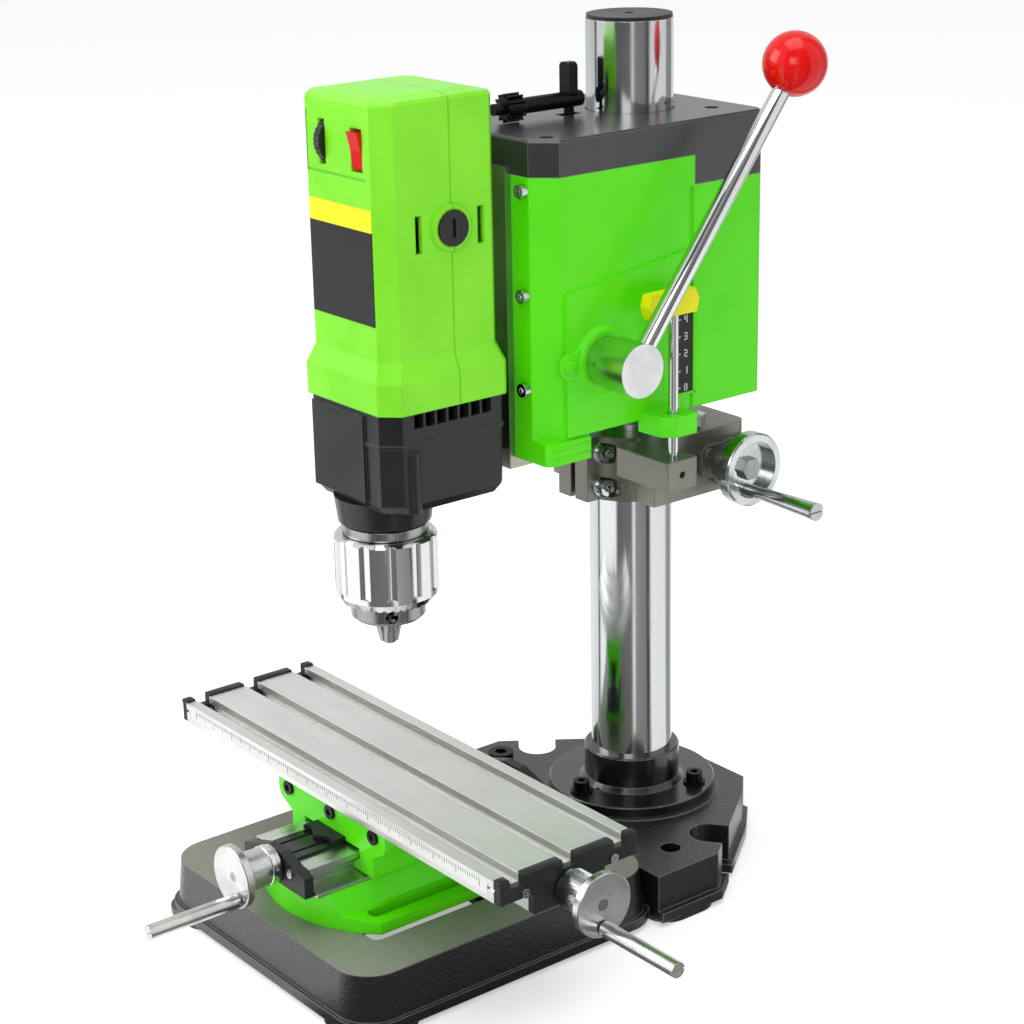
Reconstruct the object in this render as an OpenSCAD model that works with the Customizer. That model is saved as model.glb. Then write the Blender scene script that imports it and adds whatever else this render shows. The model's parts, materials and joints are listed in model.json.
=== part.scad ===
// Bench drill milling machine with a cross table, a round column and a lever feed head.
// The column axis is X = 0, Y = 0, and the feet stand on Z = 0. The front is towards -Y.

/* [Base] */
// Width of the machined pad
pad_w = 200; // [190:1:220]
// Distance from the column axis to the front edge of the pad
pad_front = 277; // [270:1:300]
// Distance from the column axis to the back edge of the pad
pad_back = 70; // [66:1:76]
// Height of the machined pad above the floor
pad_z = 36; // [34:1:42]
// Height of the rear deck above the floor
deck_z = 31.5; // [29:0.5:33]
// Height of the foot rim
rim_h = 9; // [7:1:12]
// How far the rim stands out past the pad
rim_out = 4; // [2:0.5:6]
// Wall of the hollow casting
base_wall = 9; // [7:0.5:12]
// Radius of the bench bolt holes in the rear deck
bench_hole_r = 6.25; // [5:0.25:7]
// Distance of the bench bolt holes from the centre line
bench_hole_x = 81.4; // [78:0.2:84]
// Distance of the bench bolt holes in front of the column axis
bench_hole_y = 40.5; // [38:0.5:44]

/* [Column] */
// Radius of the column tube
column_r = 25; // [24.5:0.1:25.5]
// Wall of the column tube
column_wall = 7; // [6.5:0.1:7.5]
// Height of the top of the column above the floor
column_top = 507; // [500:1:540]
// Radius of the column flange
flange_r = 51.5; // [49:0.5:52.5]
// Thickness of the column flange
flange_t = 6.4; // [5:0.1:8]
// Radius of the flange boss
boss_r = 29.5; // [28.5:0.5:31]
// Height of the flange boss above the flange
boss_h = 22.5; // [18:0.5:28]
// Pitch circle of the three flange bolts
flange_pcd = 82; // [80:0.5:84]

/* [Cross slide] */
// Offset of the cross slide to the right of the column axis
slide_x = 5; // [3:0.5:6]
// Distance of the cross slide centre in front of the column axis
slide_y = 185; // [184:0.5:188]
// Width of the green slide base
slide_base_w = 116; // [112:1:120]
// Height of the centre platform of the slide base above the pad
platform_h = 21; // [20:0.5:22]
// Thickness of the slide base flanges
slide_flange_t = 6.6; // [5:0.2:8]
// Length of the Y rail
rail_len = 162; // [158:1:164]
// Height of the Y rail
rail_h = 15; // [14.5:0.1:15.5]
// Thickness of the end plates on the Y rail
end_plate_t = 6; // [4:0.5:7]
// Length of the saddle along Y
saddle_len = 88; // [84:1:90]
// Width of the saddle apron along X
saddle_w = 106; // [100:1:110]

/* [Table] */
// Length of the table
table_len = 303.5; // [290:0.5:330]
// Width of the table
table_w = 93; // [92:0.5:96]
// Height of the table top above the floor
table_top = 104.2; // [104:0.1:105]
// Thickness of the table plate
table_t = 12.2; // [11.8:0.1:12.6]
// Pitch of the three T-slots
slot_pitch = 35; // [33:0.5:36]
// Opening of a T-slot
slot_w = 9.2; // [8:0.1:10]
// Thickness of the table end caps
end_cap_t = 5; // [4:0.5:6]

/* [Hand wheels] */
// Radius of the two table hand wheels
wheel_r = 18; // [16:0.5:20]
// Thickness of a table hand wheel
wheel_t = 5; // [4:0.5:6]
// Radius of a hand wheel hub
hub_r = 11; // [10:0.5:12]
// Length of a hand wheel hub
hub_len = 22; // [18:1:25]
// Radius of a crank handle
grip_r = 4.3; // [4:0.1:4.8]
// Length of a crank handle
grip_len = 56; // [48:1:60]
// Radius of the circle that a crank handle turns on
crank_r = 13; // [12.5:0.1:13.5]
// Radius of the lift hand wheel
lift_wheel_r = 22; // [20:0.5:23]

/* [Carriage] */
// Height of the underside of the clamp collar
collar_z = 231; // [229:0.5:233]
// Height of the clamp collar
collar_h = 39; // [38:0.5:40]
// Half width of the clamp collar
collar_half_w = 46; // [45:0.5:48]
// Width of the clamp slit
slit_w = 4; // [3:0.5:5]
// Radius of the depth rod
rod_r = 3; // [2.5:0.1:3.2]
// Distance of the depth rod from the centre line
rod_x = 72; // [71:0.5:74]
// Distance of the depth rod in front of the column axis
rod_y = 31; // [29:0.5:33]

/* [Head] */
// Half width of the head housing
head_half_w = 57; // [56:0.5:58]
// Distance of the head front from the column axis
head_front = 111; // [110:0.5:113]
// Distance of the head back from the column axis
head_back = 52.5; // [50:0.5:56]
// Height of the underside of the head
head_z = 290.5; // [290:0.5:292]
// Height of the joint between the housing and the cover
cover_z = 436; // [432:1:440]
// Height of the cover above that joint
cover_h = 20; // [16:1:24]
// Wall of the housing
head_wall = 7; // [6:0.5:8]
// Height of the feed shaft above the floor
feed_z = 332; // [330:1:336]
// Distance of the feed shaft in front of the column axis
feed_y = 72; // [71.5:0.1:72.5]
// Radius of the feed hub
feed_hub_r = 15; // [14:0.5:16]
// Length of the feed hub
feed_hub_len = 30.5; // [28:0.5:34]
// Length of the feed lever from the shaft axis to the ball centre
lever_len = 193; // [180:1:200]
// Radius of the feed lever
lever_r = 4; // [3.5:0.1:4.5]
// Radius of the ball
ball_r = 18.2; // [16:0.2:20]

/* [Motor] */
// Half width of the motor case
motor_half_w = 38.4; // [37.5:0.1:39]
// Distance of the motor case front from the column axis
motor_front = 201.6; // [200:0.5:203]
// Distance of the motor case back from the column axis
motor_back = 127; // [126.5:0.1:128]
// Height of the underside of the motor case
motor_z = 319.5; // [318:0.5:321]
// Height of the top of the motor case
motor_top = 486; // [480:1:500]
// Wall of the motor case
case_wall = 3; // [2.5:0.1:3.5]
// Height of the gearbox below the motor case
gearbox_h = 56.5; // [56:0.5:58]
// Distance of the rotor axis in front of the column axis
rotor_y = 158.5; // [158.4:0.1:158.6]
// Distance of the spindle axis in front of the column axis
spindle_y = 180.5; // [180.4:0.1:180.6]

/* [Chuck] */
// Radius of the chuck sleeve
sleeve_r = 29; // [27:0.5:30]
// Height of the lower end of the chuck sleeve
sleeve_z = 202.8; // [202:0.2:204]
// Length of the chuck sleeve
sleeve_len = 39.7; // [38:0.1:40]
// Radius of the chuck body's lower collar
nose_r = 21; // [20.5:0.5:22]
// Height of the jaw tips
jaw_z = 176.6; // [176:0.2:178]

/* [Hidden] */
$fn = 64;

// Overrun of every cut past the face that it opens
over = 1;
// Radial clearance of a running fit
run_fit = 0.05;
// Gap between faces that slide past each other
slide_gap = 0.3;
// Thin slice that a hull starts or ends with
slice = 0.01;

// Colours
green = "#62E416";
lime = "#8FE83A";
black = "#2A2C2C";
cover_grey = "#4A4A4A";
iron = "#1E1F20";
pad_grey = "#7A7B70";
silver = "#D8D9D6";
chrome = "#C9CCCE";
cast_grey = "#5E5F5C";
red = "#F01010";
yellow = "#FFE600";
copper = "#B87333";

// A rectangle with round corners, centred on the origin
module round_rect(w, d, r) {
    square([w - 2 * r, d], center = true);
    square([w, d - 2 * r], center = true);
    for (sx = [-1, 1], sy = [-1, 1]) translate([sx * (w / 2 - r), sy * (d / 2 - r)]) circle(r);
}

// A socket screw along +Z: head above the origin, shank below it
module socket_screw(head_r, head_h, shank_r, shank_len, socket_r) {
    difference() {
        union() {
            cylinder(r = head_r, h = head_h);
            translate([0, 0, -shank_len]) cylinder(r = shank_r, h = shank_len);
        }
        translate([0, 0, head_h * socket_share]) cylinder(r = socket_r, h = head_h, $fn = 6);
    }
}
socket_share = 0.45;

// Outline of a rack along +Y from 0: teeth point towards -X from the pitch line at 0
function rack_points(pitch, count, tooth, back) = concat(
    [[back, 0]], [[back, pitch * count]],
    [for (i = [count - 1:-1:0]) each [[tooth / 2, pitch * (i + 1)], [tooth / 2, pitch * (i + root_shares[3])],
        [-tooth / 2, pitch * (i + root_shares[2])], [-tooth / 2, pitch * (i + root_shares[1])],
        [tooth / 2, pitch * (i + root_shares[0])]]],
    [[tooth / 2, 0]]);
root_shares = [0.22, 0.40, 0.60, 0.78];

// Outline of a gear whose teeth are thin enough to run freely
function gear_points(root, tip, count, phase) = [for (i = [0:count - 1]) each [
    for (k = [0:3]) let (a = phase + 360 / count * (i + gear_shares[k]), r = (k == 0 || k == 3) ? root : tip)
        [r * cos(a), r * sin(a)]]];
gear_shares = [-0.22, -0.10, 0.10, 0.22];

// Base casting values
pad_corner = 22;
deck_half_w = 105;
deck_side_y = 24;
deck_corner_x = 55;
deck_corner_y = 43;
deck_back = 60;
deck_ring_r = 54;
deck_ring_h = 1;
foot_h = 3;
foot_w = 46;
window_w = 25;
window_x = 52;
window_front = 244.4;
window_len = 118;
notch_w = 24;
notch_depth = 28;
notch_x = 82;
notch_y = -10;
notch_angle = 37;
lug_slot_w = 11;
rib_t = 9;
column_foot_r = 30;
floor_t = 10;

// Outline of the rear deck, grown by a margin
module deck_outline(grow) {
    w = deck_half_w + grow;
    polygon([[-w, -pad_back - over], [w, -pad_back - over], [w, -deck_side_y], [deck_corner_x + grow, deck_corner_y],
        [deck_corner_x * deck_back_share, deck_back + grow], [-deck_corner_x * deck_back_share, deck_back + grow],
        [-deck_corner_x - grow, deck_corner_y], [-w, -deck_side_y]]);
}
deck_back_share = 0.7;
pad_len = pad_front - pad_back;
pad_mid_y = -(pad_front + pad_back) / 2;

// Outline of a notch that opens towards +X
function notch_points(r) = concat([[2 * notch_depth, r]],
    [for (i = [0:notch_steps]) let (a = 90 + 180 * i / notch_steps) [r * cos(a), r * sin(a)]], [[2 * notch_depth, -r]]);
notch_steps = 16;

module notches() {
    for (s = [-1, 1]) translate([s * notch_x, notch_y]) rotate([0, 0, s > 0 ? notch_angle : 180 - notch_angle])
        children();
}

module base_casting() {
    color(iron) difference() {
        union() {
            // Feet under the corners
            for (s = [-1, 1]) {
                translate([s * (pad_w / 2 + rim_out - foot_w / 2), -pad_front - rim_out + foot_w / 2, 0])
                    linear_extrude(foot_h + over) round_rect(foot_w, foot_w, foot_w / 3);
                translate([s * (deck_half_w + rim_out - foot_w / 2), -deck_side_y - foot_w / 2, 0])
                    linear_extrude(foot_h + over) round_rect(foot_w, foot_w, foot_w / 3);
            }
            translate([0, deck_back - foot_w / 2, 0]) linear_extrude(foot_h + over)
                round_rect(2 * foot_w, foot_w, foot_w / 3);
            // Rim and drafted front block with the machined pad
            translate([0, pad_mid_y, foot_h]) linear_extrude(rim_h - foot_h)
                round_rect(pad_w + 2 * rim_out, pad_len + 2 * rim_out, pad_corner);
            hull() {
                translate([0, pad_mid_y, rim_h - slice]) linear_extrude(slice)
                    round_rect(pad_w + rim_out, pad_len + rim_out, pad_corner);
                translate([0, pad_mid_y, pad_z - slice]) linear_extrude(slice)
                    round_rect(pad_w, pad_len, pad_corner);
            }
            // Rear deck with its rim and the ring under the column flange
            translate([0, 0, foot_h]) linear_extrude(rim_h - foot_h) deck_outline(rim_out);
            translate([0, 0, rim_h - over]) linear_extrude(deck_z - rim_h + over) deck_outline(0);
            cylinder(r = deck_ring_r, h = deck_z + deck_ring_h);
        }
        // Hollow underside, with a rib between its two halves
        translate([0, pad_mid_y - rib_t / 2, -over]) linear_extrude(pad_z - floor_t + over)
            round_rect(pad_w - 2 * base_wall, pad_len - base_wall - rib_t, pad_corner - base_wall);
        translate([0, 0, -over]) linear_extrude(deck_z - floor_t + over) difference() {
            translate([0, -pad_back / 2 + deck_back / 2 - base_wall])
                round_rect(2 * deck_corner_x, pad_back + deck_back - 2 * base_wall, base_wall);
            circle(column_foot_r);
        }
        // Clamp windows beside the slide base
        for (s = [-1, 1]) translate([slide_x + s * (window_x - slide_x / 2), -window_front + window_len / 2, -over])
            linear_extrude(pad_z + 2 * over) round_rect(window_w, window_len, window_w / 5);
        // Bench bolt notches with slotted lugs at floor level
        notches() translate([0, 0, rim_h - over / 2]) linear_extrude(deck_z) polygon(notch_points(notch_w / 2));
        notches() translate([0, 0, -over]) linear_extrude(deck_z) polygon(notch_points(lug_slot_w / 2));
        // Bench bolt holes
        for (s = [-1, 1]) translate([s * bench_hole_x, -bench_hole_y, -over])
            cylinder(r = bench_hole_r, h = deck_z + 2 * over);
        // Tapped holes of the flange bolts
        flange_places() translate([0, 0, deck_z - bolt_engage]) cylinder(r = bolt_r, h = bolt_engage + 2 * over);
    }
}

// Column flange values
bolt_r = 3;
bolt_engage = 8;
washer_r = 6.8;
washer_t = 1.4;
bolt_head_r = 5;
bolt_head_h = 6;
flange_z = deck_z + deck_ring_h;
boss_fillet = 3;
column_fit = 0.02;

module flange_places() {
    for (a = [-90, 30, 150]) rotate([0, 0, a]) translate([flange_pcd / 2, 0, 0]) children();
}

module column_flange() {
    color(pad_grey) difference() {
        translate([0, 0, flange_z]) rotate_extrude() difference() {
            polygon([[column_r + column_fit, 0], [flange_r, 0], [flange_r, flange_t - over / 2],
                [flange_r - over / 2, flange_t], [boss_r + boss_fillet, flange_t], [boss_r, flange_t + boss_fillet],
                [boss_r, flange_t + boss_h - over], [boss_r - over, flange_t + boss_h],
                [column_r + column_fit, flange_t + boss_h]]);
        }
        flange_places() translate([0, 0, flange_z - over]) cylinder(r = bolt_r + slide_gap, h = flange_t + 2 * over);
    }
}

module flange_bolts() {
    color(black) flange_places() translate([0, 0, flange_z + flange_t]) {
        cylinder(r = washer_r, h = washer_t);
        translate([0, 0, washer_t])
            socket_screw(bolt_head_r, bolt_head_h, bolt_r, flange_t + washer_t + bolt_engage, bolt_head_r / 2);
    }
}

// Column values
rack_pitch = 4.5;
column_rack_w = 9;
column_rack_back = 5.6;
rack_tooth = 2;
column_rack_z = 70;
rack_proud = 1.2;
column_rack_line = column_r - rack_tooth / 2 + rack_proud;
column_rack_count = floor((column_top - column_rack_z - rack_pitch) / rack_pitch);
cap_t = 2.1;
cap_hole_r = 2.8;

module column_tube() {
    color(chrome) difference() {
        translate([0, 0, flange_z]) cylinder(r = column_r, h = column_top - flange_z);
        translate([0, 0, flange_z - over]) cylinder(r = column_r - column_wall, h = column_top);
        translate([-column_rack_w / 2 - column_fit, column_rack_line - column_rack_back + rack_tooth / 2, column_rack_z])
            cube([column_rack_w + 2 * column_fit, column_r, column_rack_count * rack_pitch]);
    }
}

module column_rack() {
    color(cast_grey) translate([-column_rack_w / 2, column_rack_line, column_rack_z]) rotate([90, 0, 90])
        linear_extrude(column_rack_w) mirror([1, 0])
            polygon(rack_points(rack_pitch, column_rack_count, rack_tooth, column_rack_back - rack_tooth / 2));
}

module column_cap() {
    color(black) difference() {
        translate([0, 0, column_top - column_wall]) cylinder(r = column_r - column_wall - column_fit, h = column_wall + over);
        translate([0, 0, column_top - column_wall - over]) cylinder(r = cap_hole_r, h = column_wall + cap_t + 2 * over);
    }
    color(black) difference() {
        translate([0, 0, column_top]) cylinder(r = column_r - over / 2, h = cap_t);
        translate([0, 0, column_top - over]) cylinder(r = cap_hole_r, h = cap_t + 2 * over);
    }
}

// Slide base values
slide_base_front = 51;
slide_base_back = 55;
nose_front = 77;
flange_slot_w = 8;
flange_slot_x = 46.5;
flange_slot_front = 48;
flange_slot_back = 40;
platform_half_w = 34;
platform_foot_w = 40;
rail_z = pad_z + platform_h;
base_bolt_r = 3.9;
base_bolt_y = 32;

// Children are drawn about the cross slide's centre
module at_slide() { translate([slide_x, -slide_y, 0]) children(); }

module slide_base() {
    color(green) at_slide() difference() {
        intersection() {
            translate([0, slide_base_back, 0]) rotate([90, 0, 0]) linear_extrude(slide_base_back + nose_front + 2 * over)
                polygon([[-slide_base_w / 2, pad_z], [slide_base_w / 2, pad_z],
                    [slide_base_w / 2, pad_z + slide_flange_t], [platform_foot_w, pad_z + slide_flange_t * foot_rise_share],
                    [platform_half_w, rail_z], [-platform_half_w, rail_z],
                    [-platform_foot_w, pad_z + slide_flange_t * foot_rise_share],
                    [-slide_base_w / 2, pad_z + slide_flange_t]]);
            // Straight flanges and a bowed front
            translate([0, 0, pad_z - over]) linear_extrude(platform_h + 2 * over)
                polygon(concat([[slide_base_w / 2 + over, slide_base_back - over], [-slide_base_w / 2 - over, slide_base_back - over]],
                    [for (i = [-nose_steps:nose_steps]) let (a = nose_angle * i / nose_steps)
                        [nose_arc_r * sin(a), nose_arc_r - nose_front - nose_arc_r * cos(a)]]));
        }
        for (s = [-1, 1]) translate([s * flange_slot_x, 0, pad_z - over]) linear_extrude(platform_h) {
            translate([-flange_slot_w / 2, -flange_slot_front])
                square([flange_slot_w, flange_slot_front + flange_slot_back]);
            for (y = [-flange_slot_front, flange_slot_back]) translate([0, y]) circle(flange_slot_w / 2);
        }
    }
}
foot_rise_share = 1.25;
// The bow passes through the flange corners and the nose
nose_rise = nose_front - slide_base_front;
nose_half = slide_base_w / 2 + over;
nose_arc_r = (pow(nose_half, 2) + pow(nose_rise, 2)) / (2 * nose_rise);
nose_angle = asin(nose_half / nose_arc_r);
nose_steps = 12;

module base_bolts() {
    color(black) {
        // Clamp bolts of the slide base
        for (s = [-1, 1]) at_slide() translate([s * flange_slot_x, base_bolt_y, pad_z + slide_flange_t * foot_rise_share])
            socket_screw(bolt_head_r + over, bolt_head_h, base_bolt_r - slide_gap, platform_h, bolt_head_r / 2);
        // Plates that the clamp bolts pull up against the casting
        for (s = [-1, 1]) at_slide() translate([s * flange_slot_x, base_bolt_y, pad_z - floor_t - clamp_plate_t / 2]) difference() {
            cube([window_w + clamp_plate_lap, clamp_plate_w, clamp_plate_t], center = true);
            cylinder(r = base_bolt_r - slide_gap, h = 2 * clamp_plate_t, center = true);
        }
        // Bench bolt in the left hole of the deck
        translate([-bench_hole_x, -bench_hole_y, deck_z])
            socket_screw(bench_head_r, bolt_head_h, bench_hole_r - slide_gap, deck_z - over, bench_head_r / 2);
    }
}
bench_head_r = 8;
clamp_plate_t = 4;
clamp_plate_w = 18;
clamp_plate_lap = 10;

// Y rail values
rail_foot_half = 34;
rail_foot_t = 2;
rail_waist_half = 21;
rail_top_half = 27;
rail_lip_h = 3.5;
rail_groove_half = 13;
rail_groove_h = 10;
rail_front = 77;
plate_half_w = 30.5;
plate_flat_half = 7;
plate_drop = 7.5;
plate_top = 4.5;
screw_hole_r = 2;
plate_screw_x = 17;
plate_screw_share = 0.72;
rail_screw_drop = 4;
y_screw_z = rail_z + rail_h - rail_screw_drop;
y_screw_r = 3.6;

module rail_outline() {
    polygon([[-rail_foot_half, 0], [rail_foot_half, 0], [rail_foot_half, rail_foot_t],
        [rail_waist_half, rail_foot_t + over], [rail_waist_half, rail_h / 2], [rail_top_half, rail_h - rail_lip_h],
        [rail_top_half, rail_h], [rail_groove_half, rail_h], [rail_groove_half, rail_h - rail_groove_h],
        [-rail_groove_half, rail_h - rail_groove_h], [-rail_groove_half, rail_h], [-rail_top_half, rail_h],
        [-rail_top_half, rail_h - rail_lip_h], [-rail_waist_half, rail_h / 2],
        [-rail_waist_half, rail_foot_t + over], [-rail_foot_half, rail_foot_t]]);
}

module y_rail() {
    color(silver) at_slide() translate([0, rail_len - rail_front, rail_z]) rotate([90, 0, 0])
        linear_extrude(rail_len) rail_outline();
}

module plate_outline() {
    polygon([[-plate_half_w, 0], [plate_half_w, 0], [plate_half_w, rail_h + plate_top - plate_drop],
        [plate_flat_half, rail_h + plate_top], [-plate_flat_half, rail_h + plate_top],
        [-plate_half_w, rail_h + plate_top - plate_drop]]);
}

// The two ends of the Y rail, with the front one first
rail_ends = [-rail_front - end_plate_t, rail_len - rail_front];

module y_end_plates() {
    color(black) at_slide() for (y = rail_ends) translate([0, y + end_plate_t, rail_z]) difference() {
        rotate([90, 0, 0]) linear_extrude(end_plate_t) plate_outline();
        translate([0, over, y_screw_z - rail_z]) rotate([90, 0, 0])
            cylinder(r = y_screw_r + run_fit, h = end_plate_t + 2 * over);
        for (s = [-1, 1]) translate([s * plate_screw_x, over, rail_h * plate_screw_share]) rotate([90, 0, 0])
            cylinder(r = screw_hole_r, h = end_plate_t + 2 * over);
    }
}

module y_plate_screws() {
    color(chrome) at_slide() for (s = [-1, 1]) {
        translate([s * plate_screw_x, rail_ends[0], rail_z + rail_h * plate_screw_share]) rotate([90, 0, 0])
            socket_screw(small_head_r, small_head_h, screw_hole_r - column_fit, end_plate_t, small_head_r / 2);
        translate([s * plate_screw_x, rail_ends[1] + end_plate_t, rail_z + rail_h * plate_screw_share]) rotate([-90, 0, 0])
            socket_screw(small_head_r, small_head_h, screw_hole_r - column_fit, end_plate_t, small_head_r / 2);
    }
}
small_head_r = 2.6;
small_head_h = 1.4;

rail_cover_t = 1.6;
rail_cover_half = 13.5;
rail_cover_len = 38;

module rail_cover() {
    color(black) at_slide() translate([0, 0, rail_z + rail_h]) difference() {
        translate([-rail_cover_half, -rail_front, 0]) cube([2 * rail_cover_half, rail_cover_len, rail_cover_t]);
        for (s = [-1, 1]) translate([s * rail_cover_half / 2 - over, -rail_front + over, rail_cover_t / 2])
            cube([2 * over, rail_cover_len, rail_cover_t]);
    }
}

// Saddle values
saddle_top = table_top - table_t - slide_gap;
saddle_low_half = 40;
saddle_lobe_h = 13;
apron_t = 9;
saddle_leg_z = rail_z + rail_foot_t + over + slide_gap;
body_half = 24;
body_drop = 13;
body_gap = 0.35;
channel_top = rail_z + rail_h + rail_cover_t + slide_gap;
saddle_neck_y = 34;
gib_xs = [-42, 0, 42];
gib_head_r = 4.3;
gib_head_h = 1.6;
gib_z_drop = 5;
wiper_t = 2.6;
wiper_half = 14;
wiper_len = 12;

// Front view of the saddle: wide lobes at the top and legs around the rail
module saddle_outline() {
    difference() {
        polygon([[-saddle_w / 2, saddle_top], [-saddle_w / 2, saddle_top - saddle_lobe_h * lobe_share],
            [-saddle_w / 2 + over * 2, saddle_top - saddle_lobe_h],
            [-saddle_low_half, saddle_top - saddle_lobe_h * waist_share],
            [-saddle_low_half, saddle_leg_z], [saddle_low_half, saddle_leg_z],
            [saddle_low_half, saddle_top - saddle_lobe_h * waist_share],
            [saddle_w / 2 - over * 2, saddle_top - saddle_lobe_h],
            [saddle_w / 2, saddle_top - saddle_lobe_h * lobe_share], [saddle_w / 2, saddle_top]]);
        // Clearance round the dovetail of the rail
        polygon([[-rail_waist_half - slide_gap, saddle_leg_z - over], [rail_waist_half + slide_gap, saddle_leg_z - over],
            [rail_waist_half + slide_gap, rail_z + rail_h / 2 - slide_gap],
            [rail_top_half + slide_gap, rail_z + rail_h - rail_lip_h - slide_gap],
            [rail_top_half + slide_gap, channel_top], [-rail_top_half - slide_gap, channel_top],
            [-rail_top_half - slide_gap, rail_z + rail_h - rail_lip_h - slide_gap],
            [-rail_waist_half - slide_gap, rail_z + rail_h / 2 - slide_gap]]);
    }
}
lobe_share = 0.7;
waist_share = 1.45;

module saddle() {
    color(green) at_slide() difference() {
        translate([0, saddle_len / 2, 0]) rotate([90, 0, 0]) linear_extrude(saddle_len) saddle_outline();
        // Channel for the table body
        translate([-saddle_w / 2 - over, -body_half - body_gap, saddle_top + slide_gap - body_drop + over - body_gap])
            cube([saddle_w + 2 * over, 2 * (body_half + body_gap), body_drop + over]);
        // Tapped holes of the gib screws
        for (x = gib_xs) translate([x, -saddle_len / 2 - over, saddle_top - gib_z_drop]) rotate([-90, 0, 0])
            cylinder(r = screw_hole_r, h = apron_t + over);
    }
}

module gib_screws() {
    color(black) at_slide() for (x = gib_xs) translate([x, -saddle_len / 2, saddle_top - gib_z_drop])
        rotate([90, 0, 0]) socket_screw(gib_head_r, gib_head_h, screw_hole_r - column_fit, apron_t - over, gib_head_r / 2);
}

module way_wiper() {
    color(black) at_slide() translate([0, -saddle_len / 2, channel_top]) rotate([0, 0, 0])
        translate([-wiper_half, -wiper_len, 0]) linear_extrude(wiper_t) polygon(concat([[0, wiper_len],
            [2 * wiper_half, wiper_len]],
            [for (i = [wave_steps:-1:0]) [2 * wiper_half * i / wave_steps,
                wiper_len * (wave_shares[0] + wave_shares[1] * sin(360 * wave_shares[2] * i / wave_steps))]]));
}
wave_steps = 16;
wave_shares = [0.2, 0.18, 1.5];

// Table values
table_x = 1.3;
slot_depth = 9;
slot_head_w = 15;
slot_head_h = 4.5;
edge_groove_z = 4;
edge_groove_h = 1.6;
edge_groove_d = 1;
x_screw_r = 4.5;
x_screw_z = table_top - 16;
x_bore_r = 6;
table_half = table_len / 2;
body_len_share = 1;
cap_screw_half = 30;

// Cross-section of the table, seen along its length
module table_outline(with_slots) {
    difference() {
        union() {
            translate([-table_w / 2, table_top - table_t]) square([table_w, table_t]);
            translate([-body_half, table_top - table_t - body_drop + over])
                square([2 * body_half, body_drop]);
        }
        if (with_slots) {
            for (k = [-1, 0, 1]) translate([k * slot_pitch, 0]) {
                translate([-slot_w / 2, table_top - slot_depth]) square([slot_w, slot_depth + over]);
                translate([-slot_head_w / 2, table_top - slot_depth]) square([slot_head_w, slot_head_h]);
            }
            for (s = [-1, 1]) translate([s * table_w / 2, table_top - edge_groove_z - edge_groove_h / 2])
                square([2 * edge_groove_d, edge_groove_h], center = true);
            translate([0, x_screw_z]) circle(x_bore_r);
        }
    }
}

module at_table() { translate([slide_x + table_x, -slide_y, 0]) children(); }

module table_plate() {
    color(silver) at_table() translate([-table_half, 0, 0]) rotate([90, 0, 90]) linear_extrude(table_len)
        table_outline(true);
}

module table_end_caps() {
    color(black) at_table() for (s = [-1, 1]) translate([s > 0 ? table_half : -table_half - end_cap_t, 0, 0])
        difference() {
            rotate([90, 0, 90]) linear_extrude(end_cap_t) difference() {
                intersection() {
                    table_outline(false);
                    translate([-table_w / 2 + over / 2, table_top - table_t - body_drop])
                        square([table_w - over, table_t + body_drop - over / 2]);
                }
                for (k = [-1, 0, 1]) translate([k * slot_pitch - slot_w / 2, table_top - slot_depth + slot_head_h])
                    square([slot_w, slot_depth]);
            }
            translate([-over, 0, x_screw_z]) rotate([0, 90, 0]) cylinder(r = x_screw_r + run_fit, h = end_cap_t + 2 * over);
            for (y = [-cap_screw_half, cap_screw_half]) translate([-over, y, table_top - table_t + cap_screw_rise])
                rotate([0, 90, 0]) cylinder(r = screw_hole_r, h = end_cap_t + 2 * over);
        }
}
cap_screw_rise = 2.7;

module table_cap_screws() {
    color(chrome) at_table() for (s = [-1, 1], y = [-cap_screw_half, cap_screw_half])
        translate([s * (table_half + end_cap_t), y, table_top - table_t + cap_screw_rise]) rotate([0, s * 90, 0])
            socket_screw(small_head_r, small_head_h, screw_hole_r - column_fit, end_cap_t, small_head_r / 2);
}

module lead_nuts() {
    color(copper) at_slide() {
        // Nut of the Y screw, hung under the saddle in the groove of the rail
        difference() {
            translate([-nut_half, -nut_len / 2, y_screw_z - nut_half + over])
                cube([2 * nut_half, nut_len, channel_top - y_screw_z + nut_half - over]);
            translate([0, nut_len, y_screw_z]) rotate([90, 0, 0]) cylinder(r = y_screw_r + run_fit, h = 2 * nut_len);
        }
        // Nut of the X screw, in the bore of the table
        translate([-nut_len / 2, 0, x_screw_z]) rotate([0, 90, 0]) difference() {
            cylinder(r = x_bore_r - slide_gap, h = nut_len);
            translate([0, 0, -over]) cylinder(r = x_screw_r + run_fit, h = nut_len + 2 * over);
        }
    }
}
nut_half = 5.5;
nut_len = 16;

// A hand wheel along +Z from its hub's inner end: hub, then a dished disc
module hand_wheel(bore) {
    rotate_extrude() polygon([[bore, 0], [hub_r - over / 2, 0], [hub_r, over / 2], [hub_r, hub_len],
        [wheel_r - over / 2, hub_len], [wheel_r, hub_len + over / 2], [wheel_r, hub_len + wheel_t - over / 2],
        [wheel_r - over / 2, hub_len + wheel_t], [bore + dish_r, hub_len + wheel_t - dish_depth],
        [bore, hub_len + wheel_t - dish_depth]]);
}
dish_r = 4;
dish_depth = 1.2;
grip_pin_r = 2;

// The pin hole of a crank handle, cut where a wheel carries its handle
module grip_hole(drop) {
    translate([0, drop, hub_len - over]) cylinder(r = grip_pin_r + run_fit, h = wheel_t + 2 * over);
}

// A turning crank handle with its slotted screw, along +Z from the wheel face
module crank_grip(tip_r) {
    difference() {
        union() {
            translate([0, 0, slide_gap]) cylinder(r1 = grip_r, r2 = tip_r, h = grip_len);
            translate([0, 0, -wheel_t + over]) cylinder(r = grip_pin_r, h = wheel_t);
        }
        translate([-tip_r, -over / 2, grip_len - over]) cube([2 * tip_r, over, 2 * over]);
    }
}

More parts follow.
